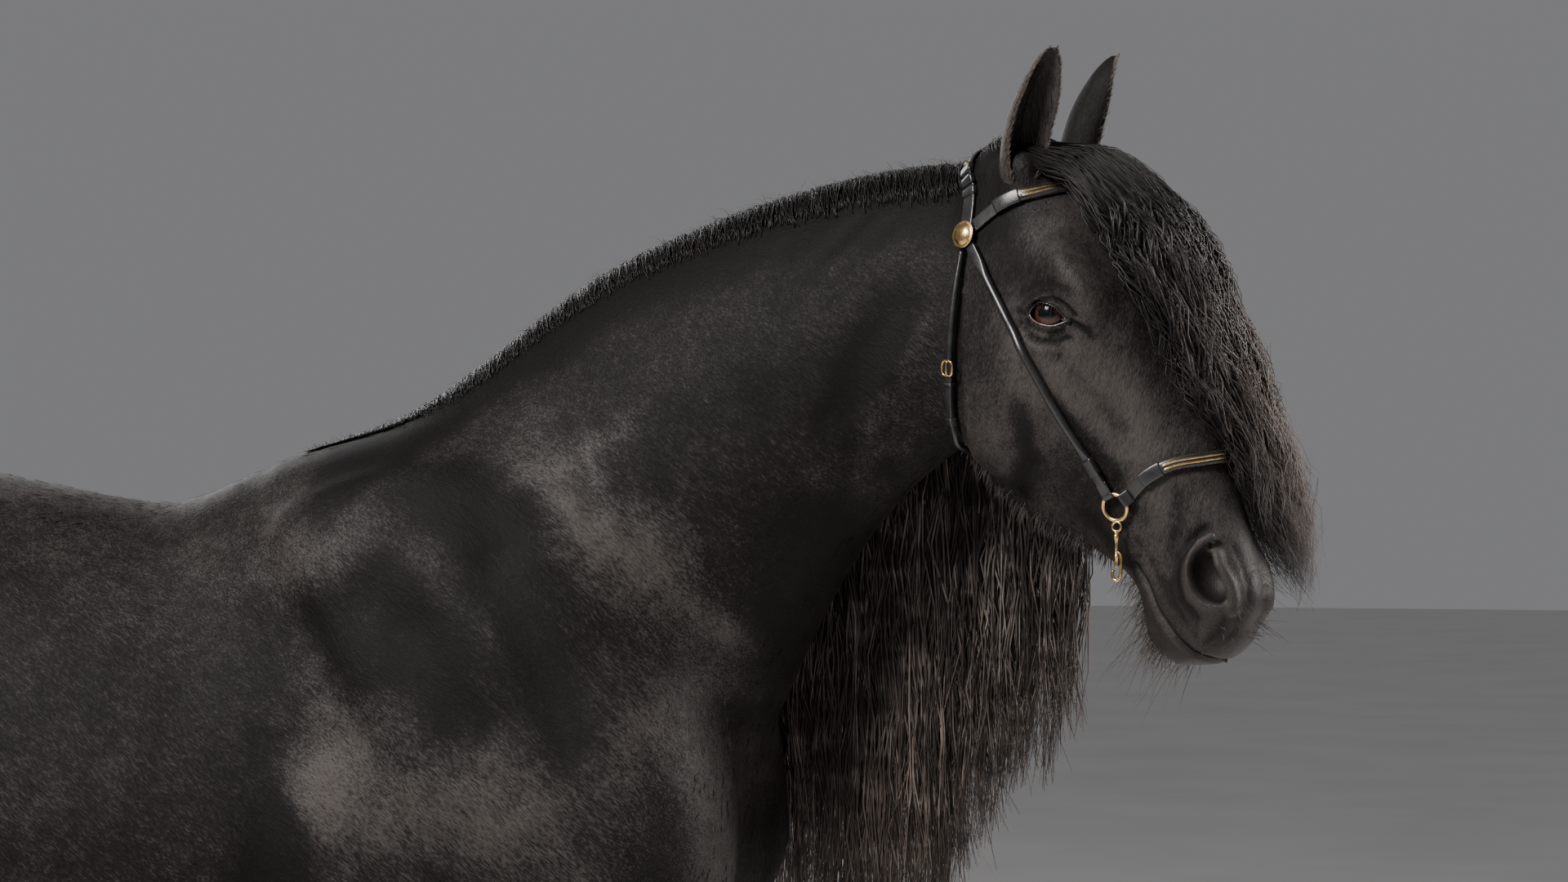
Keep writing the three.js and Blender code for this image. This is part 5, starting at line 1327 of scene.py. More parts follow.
# a band that is flat at its ends and padded between them, from 0.20 to 0.80 of its length
def makeBand(name, thick=5.0, count=150):
    path, out = onSkin(both(bridle[name]), thick / 2 + bridle["lift"], count)
    wide = bridle["band"]
    padded = (1 - ease(abs(linspace(-1, 1, count)), 0.60, 0.68))[:, None, None]
    flat = strapProfile(wide, thick * 0.62)
    profile = mixed(flat, strapProfile(wide - 0.6, thick, 1.6), padded) - (0, 0.8) * (1 - padded)
    leatherPiece(name + "Strap", [carried(path, out, profile)], name, worn=flat)
    # the folded tongues where the padded part is sewn to the flat ends
    ends = [slice(int(count * a), int(count * (a + 0.1))) for a in (0.10, 0.80)]
    tongue = strapProfile(wide + 1.6, thick + 1.2, 0.6)
    leatherPiece(name + "Tongues", [carried(path[part], out[part], tongue) for part in ends])
    # two brass lines along the padded part, and a row of stitches beside each
    path, out = (line[int(count * 0.20):int(count * 0.80) + 1] for line in (path, out))
    wire = roundProfile(2.6, 10) * (1, 0.8) + (0, thick / 2 + 1.2)
    lines = [carried(path, out, wire + (offset, 0)) for offset in (-2.3, 2.3)]
    brassPiece(name + "Lines", lines, name + "_trim")
    stitches(name + "Stitches", path, out, 6.0, thick / 2 + 0.5, 3.2, 2.1)


# round for most of its length, flat where it folds about the ring, with a seam on its inner side
def makeCheekpiece(side, count=110):
    rolled = bridle["rolled"]
    points = [(u, w, side * v) for u, w, v in bridle["cheekpiece"]]
    path, out = onSkin(points, rolled / 2 + bridle["lift"], count)
    k = np.arange(count)
    flat = maximum(1 - ease(k, 6, 16), ease(k, 88, 98))[:, None, None]
    name = sideName("cheekpiece", side)
    leatherPiece(name + "_strap", [
        carried(path, out, mixed(roundProfile(rolled, 28), strapProfile(12.5, 6.2), flat)),
        carried(path[12:96], out[12:96], roundProfile(1.1, 6) + (0, -rolled / 2 - 0.1)),
        carried(path[96:104], out[96:104], strapProfile(14.5, 8.6))], name)


def throatPath():
    return onSkin(both(bridle["throatlatch"]), 3.5 + bridle["lift"], 260)


# round, but flat where it is buckled, with two keepers
def makeThroatlatch():
    path, out = throatPath()
    k = np.arange(len(path))
    flat = (ease(k, 58, 64) * (1 - ease(k, 92, 98)))[:, None, None]
    leatherPiece("throatlatchStrap", [
        carried(path, out, mixed(roundProfile(7.6, 28), strapProfile(10.5, 6.6), flat)),
        carried(path[84:89], out[84:89], strapProfile(13.6, 9.6)),
        carried(path[66:69], out[66:69], strapProfile(13.0, 9.4))], "throatlatch")


makeHeadpiece()
makeBand("browband")
makeBand("noseband")
for side in (-1, 1):
    makeCheekpiece(side)
makeThroatlatch()


# profiles of (radius, height): the dome over its radius, the snap's barrel and the bolt's knob
domeProfile = [(0.1, 0), (15, 0), (16, 0.6), (16, 1.6), (15, 2.3), (13.4, 1.9), (12.4, 2.6),
               (9.92, 4.6), (5.76, 5.9), (1.92, 6.4), (0.1, 6.45)]
barrelProfile = [(0.2, 6), (3.0, 6.2), (3.4, 7.4), (3.4, 9), (2.4, 10), (3.6, 11), (3.8, 14), (2.9, 16),
                 (2.3, 20), (2.2, 33), (2.9, 34), (2.9, 36), (2.2, 37), (2.2, 45), (2.6, 46), (0.2, 46.4)]
knobProfile = [(0.2, 0), (1.7, 0.2), (1.9, 1.4), (1.2, 2.2), (1.2, 3.6), (0.2, 3.8)]
hookCurve = [(1.5, 30), (4.4, 32), (5.6, 38), (5.4, 48), (4.6, 56), (1.2, 61), (-3.4, 60), (-5.2, 55),
             (-4.2, 49.5)]


# the rosette, the ring that the strap ends fold about, and the snap: an eye about the ring, a
# swivel barrel, and a hook closed by a sliding bolt
def makeFittings(side):
    b = bridle
    middle, normal = placeOnSkin(b["rosette"], side, 6.2)
    name = sideName("rosette", side)
    brassPiece(name + "_dome", [turned(domeProfile, 48, middle, normal)], name)
    middle, normal = placeOnSkin(b["ring"], side, 5.5)
    name = sideName("bit_ring", side)
    ring = loop(middle + b["ringRadius"] * spokes(normal, 44), normal, b["wire"])
    brassPiece(name + "_wire", [ring], name)
    u, w, v = b["ring"]
    q, z = face(u, w)
    x, y, _ = settled(closedField, np.array([[q, side * v, z - 18]]), 8, 12.0, 8)[0][0]
    at = np.array([x, y, z - b["ringRadius"] - b["wire"] - 1])
    t = circleAngles(28)
    hook = smoothCurve(hookCurve, 30)
    name = sideName("snap", side)
    brassPiece(name + "_hook", [
        loop(at + stacked(5.4 * cos(t), 0, 5.4 * sin(t) - 1.5), (0, 1, 0), 1.5),
        turned([(r, -h) for r, h in barrelProfile], 20, at, (0, 0, 1)),
        carried(at + stacked(hook[:, 0], 0, -hook[:, 1]), sideways, roundProfile(3.6, 12)),
        turned(knobProfile, 12, at + (0, 0, -40), (-1, 0, 0))], name)


# a squared frame with a tongue that arches over the strap
def makeBuckle():
    at, out = placeOnSkin(bridle["buckle"], -1, 8.6)
    strap, _ = throatPath()
    near = np.argmin(((strap - at) ** 2).sum(1))
    along = unit(strap[near + 2] - strap[near - 2])
    out = unit(out - along * (along @ out))
    c, s = (np.sign(a) * abs(a) ** 0.6 for a in roundProfile(2, 40).T[..., None])
    t = linspace(0, 1, 12)[:, None]
    tongue = at + along * mixed(-8.6, 8.8, t) + out * (0.5 + 1.4 * sin(pi * t))
    brassPiece("throatlatchBuckle", [
        loop(at + 7.6 * np.cross(along, out) * c + 8.4 * along * s, out, 1.5),
        carried(tongue, out[None], roundProfile(1.9, 8))], "throatlatch_buckle")


# The strap ends folded about a ring: flat bands that leave the strap's end, go over the wire on a
# circle about its middle line and end under it
def makeRingFolds(side):
    b = bridle
    middle, normal = placeOnSkin(b["ring"], side, 5.5)
    folds = []
    for end, lift, back, rise, wide in ((b["cheekpiece"][-1], 5.3, 7, 2.4, 13.4),
                                        (b["noseband"][0], 3.1, 9, 1.6, 15.4)):
        end, _ = placeOnSkin(end, side, lift)
        inward = unit(middle - end - normal * ((middle - end) @ normal))
        wire = middle - b["ringRadius"] * inward
        turn = np.radians([48, 90, 135, 180, 212])[:, None]
        over = wire + (b["wire"] + 1.5) * (normal * sin(turn) - inward * cos(turn))
        path = smoothCurve(concatenate([[end - back * inward + rise * normal], over]), 24)
        away = np.linalg.norm(path - wire, axis=1)[:, None]
        out = unit(mixed(unit(path - wire), normal, ease(away, 4.6, 8.0)))
        folds.append(carried(path, out, strapProfile(wide, 2.3)))
    leatherPiece(sideName("bit_ring", side) + "_folds", folds)


for side in (-1, 1):
    makeFittings(side)
makeBuckle()
for side in (-1, 1):
    makeRingFolds(side)
print("bridle made")


# Locks: each is a closed, thin, three-sided spike along its own path (n, m, 3). out points from the
# body, half is the half-width (n, m) and flat the height of the third side. The root's place on the
# unwrap, (n, 2), becomes a patch of the bake map about 0.003 across. values holds numbers for each
# lock (n), or for each of its points too (n, m), or a vector for each lock (n, 3).
def lockArrays(paths, out, half, flat, root, values):
    n, m = paths.shape[:2]
    along = unit(np.gradient(paths, axis=1))
    out = unit(out - along * (out * along).sum(-1, keepdims=True))
    h = half[..., None]
    across, low = np.cross(along, out) * h, paths - out * h * flat * 0.3
    ring = np.stack([low + across, low - across, paths + out * h * flat * 0.7], 2)
    j, k = np.arange(3), (np.arange(3) + 1) % 3
    i = np.arange(m - 1)[:, None] * 3
    sides = concatenate([stacked(i + j, i + k, i + 3 + j), stacked(i + k, i + 3 + k, i + 3 + j)])
    tris = concatenate([sides.reshape(-1, 3), [[2, 1, 0], [3 * m - 3, 3 * m - 2, 3 * m - 1]]])
    faces = (tris + (np.arange(n) * 3 * m)[:, None, None]).reshape(-1, 3)
    share = np.broadcast_to(linspace(0, 1, m)[:, None], (n, m, 3))
    patch = root[:, None, None] + 0.003 * stacked(np.array([-0.5, 0.5, 0]), share - 0.5)
    spread = {"along": share.ravel()}
    for key, value in values.items():
        if np.ndim(value) == 2 and value.shape[1] == 3:
            spread[key] = np.repeat(value, 3 * m, axis=0)
        else:
            spread[key] = np.repeat(np.broadcast_to(value.reshape(n, -1), (n, m)).ravel(), 3)
    return ring.reshape(-1, 3), faces, patch.reshape(-1, 2), spread


# every unwrap fills its map from 0.02 to 0.98
def fitted(root):
    low, high = root.min(0), root.max(0)
    return 0.02 + 0.96 * (root - low) / maximum(high - low, 1e-9)


mostTriangles = 190000


# Locks as one or more pieces, each under the limit of triangles; the first stands for the CAD nodes.
def lockPieces(name, paths, out, half, root, values, material, *nodes, flat=0.6):
    n, m = paths.shape[:2]
    root = stacked(*[np.ravel(a) for a in root])
    slot = "coat" if material in (coatFinish, tuftFinish) else "hair"
    each = 6 * (m - 1) + 2
    parts = int(np.ceil(n * each / mostTriangles))
    for k, rows in enumerate(np.array_split(np.argsort(root[:, 0], kind="stable"), parts)):
        own = {key: value[rows] for key, value in values.items()}
        points, faces, patch, spread = lockArrays(
            paths[rows], out[rows], half[rows], flat, fitted(root[rows]), own)
        label = name if parts == 1 else f"{name}_{k + 1}"
        piece = meshPiece(label, points, faces, maps={"OFBake": patch}, values=spread)
        finish(piece, material, slot, *(nodes if k == 0 else ()))
    print(name, n, "locks,", n * each, "triangles in", parts)


# a grid (K, L, C) read between its points
def sampled(grid, i, j):
    i, j = clip(i, 0, grid.shape[0] - 1.001), clip(j, 0, grid.shape[1] - 1.001)
    a, b = i.astype(int), j.astype(int)
    f, g = (i - a)[..., None], (j - b)[..., None]
    return mixed(mixed(grid[a, b], grid[a + 1, b], f), mixed(grid[a, b + 1], grid[a + 1, b + 1], f), g)


def wave(s, length, phase):
    return sin(2 * pi * (s / length + phase))


# a wandering line for each lock: a few sine waves of random phase, (n, m) in millimetres
def wander(s, wavelengths, sizes):
    return sum(size * wave(s, length, rng.random((len(s), 1))) for length, size in zip(wavelengths, sizes))


# the clump that each lock leans to: its own in a sorted list, or one beside it
def clumpOf(clumps, at):
    return clip(np.searchsorted(clumps, at) + rng.integers(-1, 2, at.shape), 0, len(clumps) - 1)


# half-widths along locks that swell a little and then run out to a point
def spindle(paths, low, high, tip=0.12):
    t = linspace(0, 1, paths.shape[1])
    shape = (0.7 + 0.3 * sin(pi * t ** 0.6)) * (1 - t ** 3.2) + tip * t
    return rng.uniform(low, high, (len(paths), 1)) * shape


mane = {
    "from": -85, "to": 850, "stations": 56, "step": 12,
    "locks": 4700, "points": 13, "halfWidth": (1.15, 2.3),
    "roots": 5600, "rootHalfWidth": (0.45, 0.95), "fuzz": 620,
    "hem": [(-90, 1520), (0, 1400), (100, 1280), (200, 1190), (300, 1110), (400, 1050), (500, 1000),
            (580, 975), (650, 1010), (700, 1110), (760, 1190), (820, 1250), (862, 1330)],
    "clump": 6.5,
}


# The skin across the neck at each station, from right of the crest over it and down the left side,
# straight down from the widest level: (v, z) and the outward direction, by distance from the crest
def maneSheet():
    q = linspace(mane["from"], mane["to"], mane["stations"])
    k = len(q)
    crest = 1250 + reachOf(bodyField, stacked(q, 0, 1250.0), np.array([[0, 0, 1.0]]), 760)
    turns = np.radians(linspace(-70, 60, 14))
    across = stacked(0, sin(turns), cos(turns))
    start = stacked(q, 0, crest - 75)[:, None] + 0 * across
    r = reachOf(bodyField, start.reshape(-1, 3), np.tile(across, (k, 1)), 260)
    over = (start + across * r.reshape(k, -1, 1))[..., 1:]
    low = minimum(interp(q, *np.array(mane["hem"]).T), crest - 115) - 80
    z = mixed(crest[:, None] - 78, low[:, None], linspace(0, 1, 26)[1:])
    inner = stacked(q[:, None], 20.0, z).reshape(-1, 3)
    v = np.where(inChunks(bodyField, inner) < 0, 20 + reachOf(bodyField, inner, sideways, 400), -60)
    v = np.maximum.accumulate(concatenate([over[:, -1:, 0], v.reshape(z.shape)], 1), 1)[:, 1:]
    line = concatenate([over, stacked(v, z)], 1)
    at = concatenate([np.zeros((k, 1)), np.cumsum(np.linalg.norm(np.diff(line, axis=1), axis=2), 1)], 1)
    top = np.array([interp(0, turns, row[:len(turns)]) for row in at])
    grid = np.arange(-84, 1300, mane["step"])
    sheet = np.stack([stacked(*[interp(grid + top[i], at[i], row) for row in line[i].T]) for i in range(k)])
    for _ in range(2):
        sheet[:, 1:-1] = (sheet[:, :-2] + 2 * sheet[:, 1:-1] + sheet[:, 2:]) / 4
    along = unit(np.gradient(sheet, axis=1))
    return concatenate([sheet, stacked(-along[..., 1], along[..., 0])], -1), grid[0], at[:, -1] - top


# Three kinds of lock: long ones rise from the crest, fall over to the left and hang, each leaning
# towards its clump and waving with it; short fine ones are combed up from the near side over the
# crest; and new hairs stand off it.
def makeMane():
    sheet, first, total = maneSheet()
    start, end = mane["from"], mane["to"]

    def onSheet(q, s, lift):
        station = (q - start) / (end - start) * (mane["stations"] - 1)
        base = sampled(sheet, station, (s - first) / mane["step"])
        v, z, outV, outZ = np.moveaxis(base, -1, 0)
        return stacked(q, v + outV * lift, z + outZ * lift), stacked(0, outV, outZ)

    n = (mane["locks"], 1)
    q0 = rng.uniform(start + 4, end - 2, n)
    s0 = rng.uniform(-26, 26, n) * mixed(0.5, 1, ease(q0, start, 60))
    clumps = np.sort(rng.uniform(start, end, int((end - start) / mane["clump"])))
    which = clumpOf(clumps, q0)
    phase = rng.random((len(clumps), 3))[which]
    reach = interp(q0, linspace(start, end, mane["stations"]), total) - 80
    length = reach + rng.normal(0, 26, len(clumps))[which] - rng.exponential(22, n)
    length *= np.where(rng.random(n) < 0.16, rng.uniform(0.45, 0.92, n), 1.0)
    length = maximum(length - s0, 60)
    depth = clip(rng.beta(1.3, 1.3, n) * 25 + 3, 3, 28) * mixed(0.3, 1, ease(q0, start, 170))
    ran = length * linspace(0, 1, mane["points"]) ** 1.2
    sway = minimum(ran / 260, 1.0)
    stray = (rng.random(n) < 0.06) * sway * ran / 600
    q = q0 + (clumps[which] - q0) * 0.5 * ease(ran, 60, 700)
    q += sway * (6.0 * wave(ran, 190, phase[..., 0]) + wander(ran, (330, 140), (7.0, 4.0)))
    q = clip(q + stray * wander(ran, (420,), (22.0,)), start - 6, end + 4)
    lift = -3 + (depth + 3) * ease(ran, 0, 80)
    lift += sway * (2.6 * wave(ran, 230, phase[..., 1]) + wander(ran, (140, 300), (1.4, 2.6)))
    lift += stray * rng.uniform(-4, 16, n)
    paths, out = onSheet(q, s0 + ran, lift)
    # tan: the lower hair browner, partly its own colour, partly painted sheen
    values = {"tone": clip(rng.beta(2, 2.4, n) + 0.25 * (phase[..., 2] - 0.5), 0, 1),
              "tan": 0.34 * ease(ran, 300, 900) * rng.random(n)}
    half = spindle(paths, *mane["halfWidth"])
    lockPieces("maneLocks", paths, out, half, (q0, s0 + depth), values, maneFinish, "mane")
    n, t = (mane["roots"], 1), linspace(0, 1, 6)
    q0 = rng.uniform(start + 14, end + 2, n)
    s0 = (rng.uniform(-1, 0, n) ** 3 * 12 - rng.uniform(0, 70, n)) * mixed(0.62, 1, ease(q0, start, 150))
    ran = rng.uniform(44, 94, n) * mixed(0.46, 1, ease(q0, start, 130)) * t
    q = q0 - ran * rng.normal(0.34, 0.17, n) + wander(ran, (50,), (1.3,))
    lift = -1.5 + (rng.uniform(1.5, 7, n) * sin(pi * 0.62 * t) + 2.5 * t) * ease(q0, start - 40, 130)
    paths, out = onSheet(q, s0 + ran, lift)
    values = {"tone": 0.7 * rng.beta(1.6, 2.8, n), "tan": 0.06 * rng.random(n)}
    lockPieces("maneRoots", paths, out, spindle(paths, *mane["rootHalfWidth"]), (q0, s0), values, hairFinish)
    n = (mane["fuzz"], 1)
    q0, s0 = rng.uniform(start + 10, end - 10, n), rng.uniform(-34, 10, n)
    long = minimum(rng.gamma(2.2, 8.0, n) + 8, 52) * mixed(0.5, 1.0, ease(q0, 0, 500))
    long = long * mixed(0.6, 1, ease(q0, start, 60))
    q = q0 - long * (t * rng.normal(0.35, 0.35, n) + 0.25 * t ** 2) + wander(long * t, (34,), (0.9,))
    s = s0 + long * t * rng.uniform(0.2, 0.8, n)
    paths, out = onSheet(q, s, 3 * t + long * (0.75 * t - 0.25 * t ** 2) * rng.uniform(0.3, 0.9, n))
    values = {"tone": rng.random(n), "tan": 0.35 * rng.random(n)}
    lockPieces("crestHairs", paths, out, spindle(paths, 0.22, 0.4), (q0, s0), values, hairFinish, flat=0.7)


makeMane()


forelock = {
    # u, w, v, half-thickness, half-width
    "rows": [(-16, -12, 0, 20, 40), (20, 16, 0, 34, 62), (80, 52, -2, 38, 82), (160, 74, 6, 42, 88),
             (240, 80, 18, 44, 84), (320, 78, 34, 46, 72), (400, 76, 50, 46, 60), (470, 73, 60, 42, 50),
             (530, 70, 66, 32, 38), (575, 68, 70, 18, 22), (600, 66, 72, 8, 10)],
    "locks": 2750, "points": 22, "halfWidth": (0.7, 1.45), "groups": 46,
    "waves": (128, 72), "sizes": (10.5, 3.6),
}


# Locks of the forelock: from the poll between the ears they fall over the face. across runs from the
# near edge to the far one and layer from the skin to the outer face of the hair.
def makeForelock():
    f = forelock
    us, vs = np.arange(-40, 640, 14.0), np.arange(-190, 200, 10.0)
    q, z = face(us[:, None], -40.0)
    start = stacked(q, vs, z).reshape(-1, 3)
    far = reachOf(closedField, start, np.array([[headSin, 0, headCos]]), 190)
    skinTop = np.where(inChunks(closedField, start) < 0, far - 40, -40).reshape(len(us), -1, 1)
    rows = rowsAlong(f["rows"], 6)
    n = (f["locks"], 1)
    across = rng.uniform(-1, 1, n)
    across = np.sign(across) * abs(across) ** 0.8
    layer = rng.beta(1.2, 0.85, n)
    u0 = rng.uniform(-18, 44, n) * (1 - 0.5 * abs(across))
    middles = np.sort(rng.uniform(-1, 1, f["groups"]))
    which = clumpOf(middles, across)
    phase = rng.random((f["groups"] * 3, 4))[which * 3 + minimum((layer * 3).astype(int), 2)]
    end = np.where(rng.random(n) < 0.30, rng.uniform(230, 500, n), rng.triangular(455, 545, 585, n))
    end = end - 60 * (phase[..., 3] - 0.5) - 40 * abs(across) * rng.random(n)
    ran = (end - u0) * linspace(0, 1, f["points"])
    u = u0 + ran
    s = mixed(across, middles[which], 0.6 * ease(ran, 60, 480))
    sway = ease(ran, 10, 200)
    stray = rng.random(n) < 0.13
    middleW, middleV, thick, wide = (interp(u, rows[:, 0], row) for row in rows.T[1:])
    paced = ran * (0.85 + 0.3 * phase[..., 1])
    longWave, shortWave = ([size * wave(paced, length, phase[..., k]) for k in (0, 2)]
                           for length, size in zip(f["waves"], f["sizes"]))
    v = middleV + wide * s + sway * (longWave[0] + shortWave[0] + wander(ran, (210, 92), (7.5, 2.8)))
    v = v + stray * wander(ran, (300,), (20.0,)) * ease(ran, 100, 500)
    bulge = thick * np.sqrt(clip(1 - s * s, 0, 1)) * mixed(1.06, 0.84, ease(u, 60, 380))
    skinW = sampled(skinTop, (u - us[0]) / 14.0, (v - vs[0]) / 10.0)[..., 0]
    low = maximum(skinW + 3, middleW - bulge)
    w = mixed(low, maximum(low + 4, middleW + bulge), layer)
    w = w + sway * (0.75 * longWave[1] + 0.8 * shortWave[1] + wander(ran, (150, 70), (2.4, 1.2)))
    w = maximum(w + stray * rng.uniform(0, 13, n) * ease(ran, 60, 400), skinW + 2)
    q, z = face(u, mixed(skinW - 3, w, ease(ran, 0, 60)))
    paths = stacked(q, v, z)
    out = stacked(headSin, 0.8 * s / np.sqrt(1.05 - 0.6 * s * s), headCos)
    outer = ease(layer + 0.3 * across, 0.5, 1.1)
    values = {"tone": clip(rng.beta(2, 2.6, n) + 0.3 * (phase[..., 3] - 0.4), 0, 1),
              "tan": outer * ease(ran, 120, 440) * (0.2 + 0.8 * rng.random(n))}
    half = spindle(paths, *f["halfWidth"])
    root = (across, u0 + 30 * layer)
    lockPieces("forelockLocks", paths, out, half, root, values, forelockFinish, "forelock")


makeForelock()


tail = {
    "rows": [(1520, -1118, 30, 34), (1490, -1150, 42, 40), (1420, -1195, 48, 52), (1300, -1222, 54, 66),
             (1100, -1236, 64, 80), (850, -1240, 70, 88), (600, -1238, 68, 84), (400, -1236, 54, 62),
             (260, -1234, 34, 38), (200, -1232, 14, 15)],
    "locks": 1900, "points": 15, "wave": 210, "halfWidth": (1.4, 2.8),
}


# Locks of the tail: from the dock they fall within ellipses that widen and close again
def makeTail():
    rows = rowsAlong(tail["rows"], 6)[::-1]
    n = (tail["locks"], 1)
    turn = rng.uniform(-pi, pi, n)
    clumps = np.sort(rng.uniform(-pi, pi, 40))
    which = clumpOf(clumps, turn)
    phase = rng.random((40, 3))[which]
    layer = rng.beta(2.2, 0.9, n)
    z0 = 1522 - 330 * rng.random(n) ** 1.4
    end = 215 + 60 * phase[..., 2] + rng.exponential(60, n) + 160 * (1 - layer)
    ran = (z0 - end) * linspace(0, 1, tail["points"]) ** 1.1
    z = z0 - ran
    middle, long, wide = (interp(z, rows[:, 0], row) for row in rows.T[1:])
    angle = mixed(turn, clumps[which], 0.55 * ease(ran, 200, 1100))
    angle = angle + 0.10 * wave(ran, tail["wave"], phase[..., 0]) * ease(ran, 50, 300)
    far = mixed(0.25, layer, ease(ran, 0, 120)) + 0.05 * wave(ran, 190, phase[..., 1])
    far = far + 0.02 * wander(ran, (160, 90), (1.5, 1.0))
    q = maximum(middle + long * far * cos(angle) + wander(ran, (260, 110), (3.0, 1.5)), -1306)
    paths = stacked(q, wide * far * sin(angle) + wander(ran, (240, 120), (3.5, 1.5)), z)
    values = {"tone": clip(rng.beta(2, 2.5, n) + 0.3 * (phase[..., 2] - 0.5), 0, 1),
              "tan": 0.35 * ease(ran, 500, 1200) * rng.random(n)}
    out, half = stacked(cos(angle), sin(angle), 0.05), spindle(paths, *tail["halfWidth"])
    lockPieces("tailLocks", paths, out, half, (turn, z0), values, hairFinish, "tail")


makeTail()


feather = {
    # level, offset of the middle, half-length, half-width of the hair's outer shape
    "rows": [(345, -18, 40, 32), (250, -14, 80, 62), (165, 10, 98, 82), (90, 32, 102, 92),
             (26, 26, 90, 84)],
    "locks": 760, "points": 8, "halfWidth": (1.0, 2.1),
}


# Locks of a feather: from the back of the cannon, the fetlock and the pastern they flare out and
# down over the hoof, longest behind. Places are found by level and angle about the leg's middle.
def makeFeather(end, side, foot, offset):
    legRows = np.array(foreLegRows if end == "fore" else hindLegRows, float)[::-1]

    def leanAt(z):
        return clip((pose["strideTop"] - z) / pose["strideTop"], 0, 1) * offset

    def middleAt(z):
        return interp(z, legRows[:, 0], legRows[:, 1]) + leanAt(z)

    n = (feather["locks"], 1)
    turn = rng.vonmises(pi, 0.55, n)
    rear = (1 - cos(turn)) / 2
    z0 = mixed(92, mixed(150, 345, rear ** 1.4), rng.random(n) ** 0.8)
    fall = mixed(26, 74, rng.random(n)) + 90 * rear * rng.random(n) + 0.35 * (z0 - 90) * rear
    end0 = maximum(z0 - fall, 16 + 24 * rng.random(n) + 30 * (1 - rear) * rng.random(n))
    t = linspace(0, 1, feather["points"])
    z = mixed(z0, end0, t)
    gz, gt = np.meshgrid(linspace(20, 350, 23), linspace(-pi, pi, 41), indexing="ij")
    start = stacked(middleAt(gz), side * foot[1], maximum(gz, 84)).reshape(-1, 3)
    spoke = stacked(cos(gt), sin(gt), 0).reshape(-1, 3)
    skinR = reachOf(bodyField, start, spoke, 100).reshape(gz.shape)
    wall = hypot(cos(gt) * (hoof["front"] + 2), sin(gt) * (hoof["half"] + 4))
    toHoof = (foot[0] + offset - middleAt(gz)) * cos(gt) + wall * mixed(0.80, 1.0, ease(-gz, -80, -20))
    skinR = mixed(skinR, maximum(toHoof, 30), ease(-gz, -100, -62))[..., None]
    angle = turn + 0.10 * sin(z / 23 + 6 * rng.random(n)) + rng.normal(0, 0.12, n) * t
    c, s = cos(angle), sin(angle)
    inside = sampled(skinR, (z - 20) / 15.0, ((angle + pi) % (2 * pi)) / (2 * pi) * 40)[..., 0]
    rows = np.array(feather["rows"], float)[::-1]
    dq, a, b = (interp(z, rows[:, 0], row) for row in rows.T[1:])
    hairMiddle = (168 if end == "fore" else -1060) + dq + leanAt(z)
    wide = 1 / hypot(c / a, s / b) + (hairMiddle - middleAt(z)) * c
    drop = mixed(1, 0.8, ease(c, -0.2, 0.9)) * mixed(1, 0.25, ease(c, -0.1, 0.8))
    wide = inside + (wide - inside).clip(6, 70) * drop
    r = mixed(inside - 2, mixed(inside + 3, wide, rng.beta(1.4, 1.2, n)), ease(t, 0, 0.7))
    r = r + wander(z, (90, 40), (1.6, 0.7)) * t
    paths = stacked(middleAt(z) + r * c, side * foot[1] + r * s, z)
    name = sideName("feather_" + end, side)
    values = {"tone": rng.beta(2, 2.4, n), "tan": 0.3 * t * rng.random(n)}
    half = spindle(paths, *feather["halfWidth"])
    lockPieces(name + "_locks", paths, stacked(c, s, 0.5), half, (turn, z0), values, hairFinish, name)


for end, side, foot, step in legs:
    makeFeather(end, side, pose[foot], pose["stride"][step])


tufts = {"body": 5000, "face": 2600, "points": 4, "bodyLong": (11, 20), "faceLong": (4, 8),
         "bodyHalfWidth": (0.7, 1.3), "faceHalfWidth": (0.3, 0.55)}


# the direction in which the short coat lies at points of straight space
def lieAt(p):
    q, v, z = p.T
    w, side = toFace(q, z)[1], np.sign(v)
    away = clip(-w / 200, -0.3, 0.9)[:, None] * 0.8
    headLie = np.array([headCos, 0, -headSin]) * 0.95 - np.array([headSin, 0, headCos]) * away
    headLie = headLie + stacked(0, 0.25 * side, 0)
    onHead = ease(q + (z - 1600) * 0.08, 770, 850) * (z > 1300)
    lie = stacked(-0.80, 0.10 * side, -0.60)
    for share, other in ((ease(q, 150, 420), stacked(-0.62, 0.10 * side, -0.78)),
                         (ease(-z, -900, -720), np.array([-0.12, 0, -1.0])), (onHead, headLie)):
        lie = mixed(lie, other, share[:, None])
    return unit(lie)


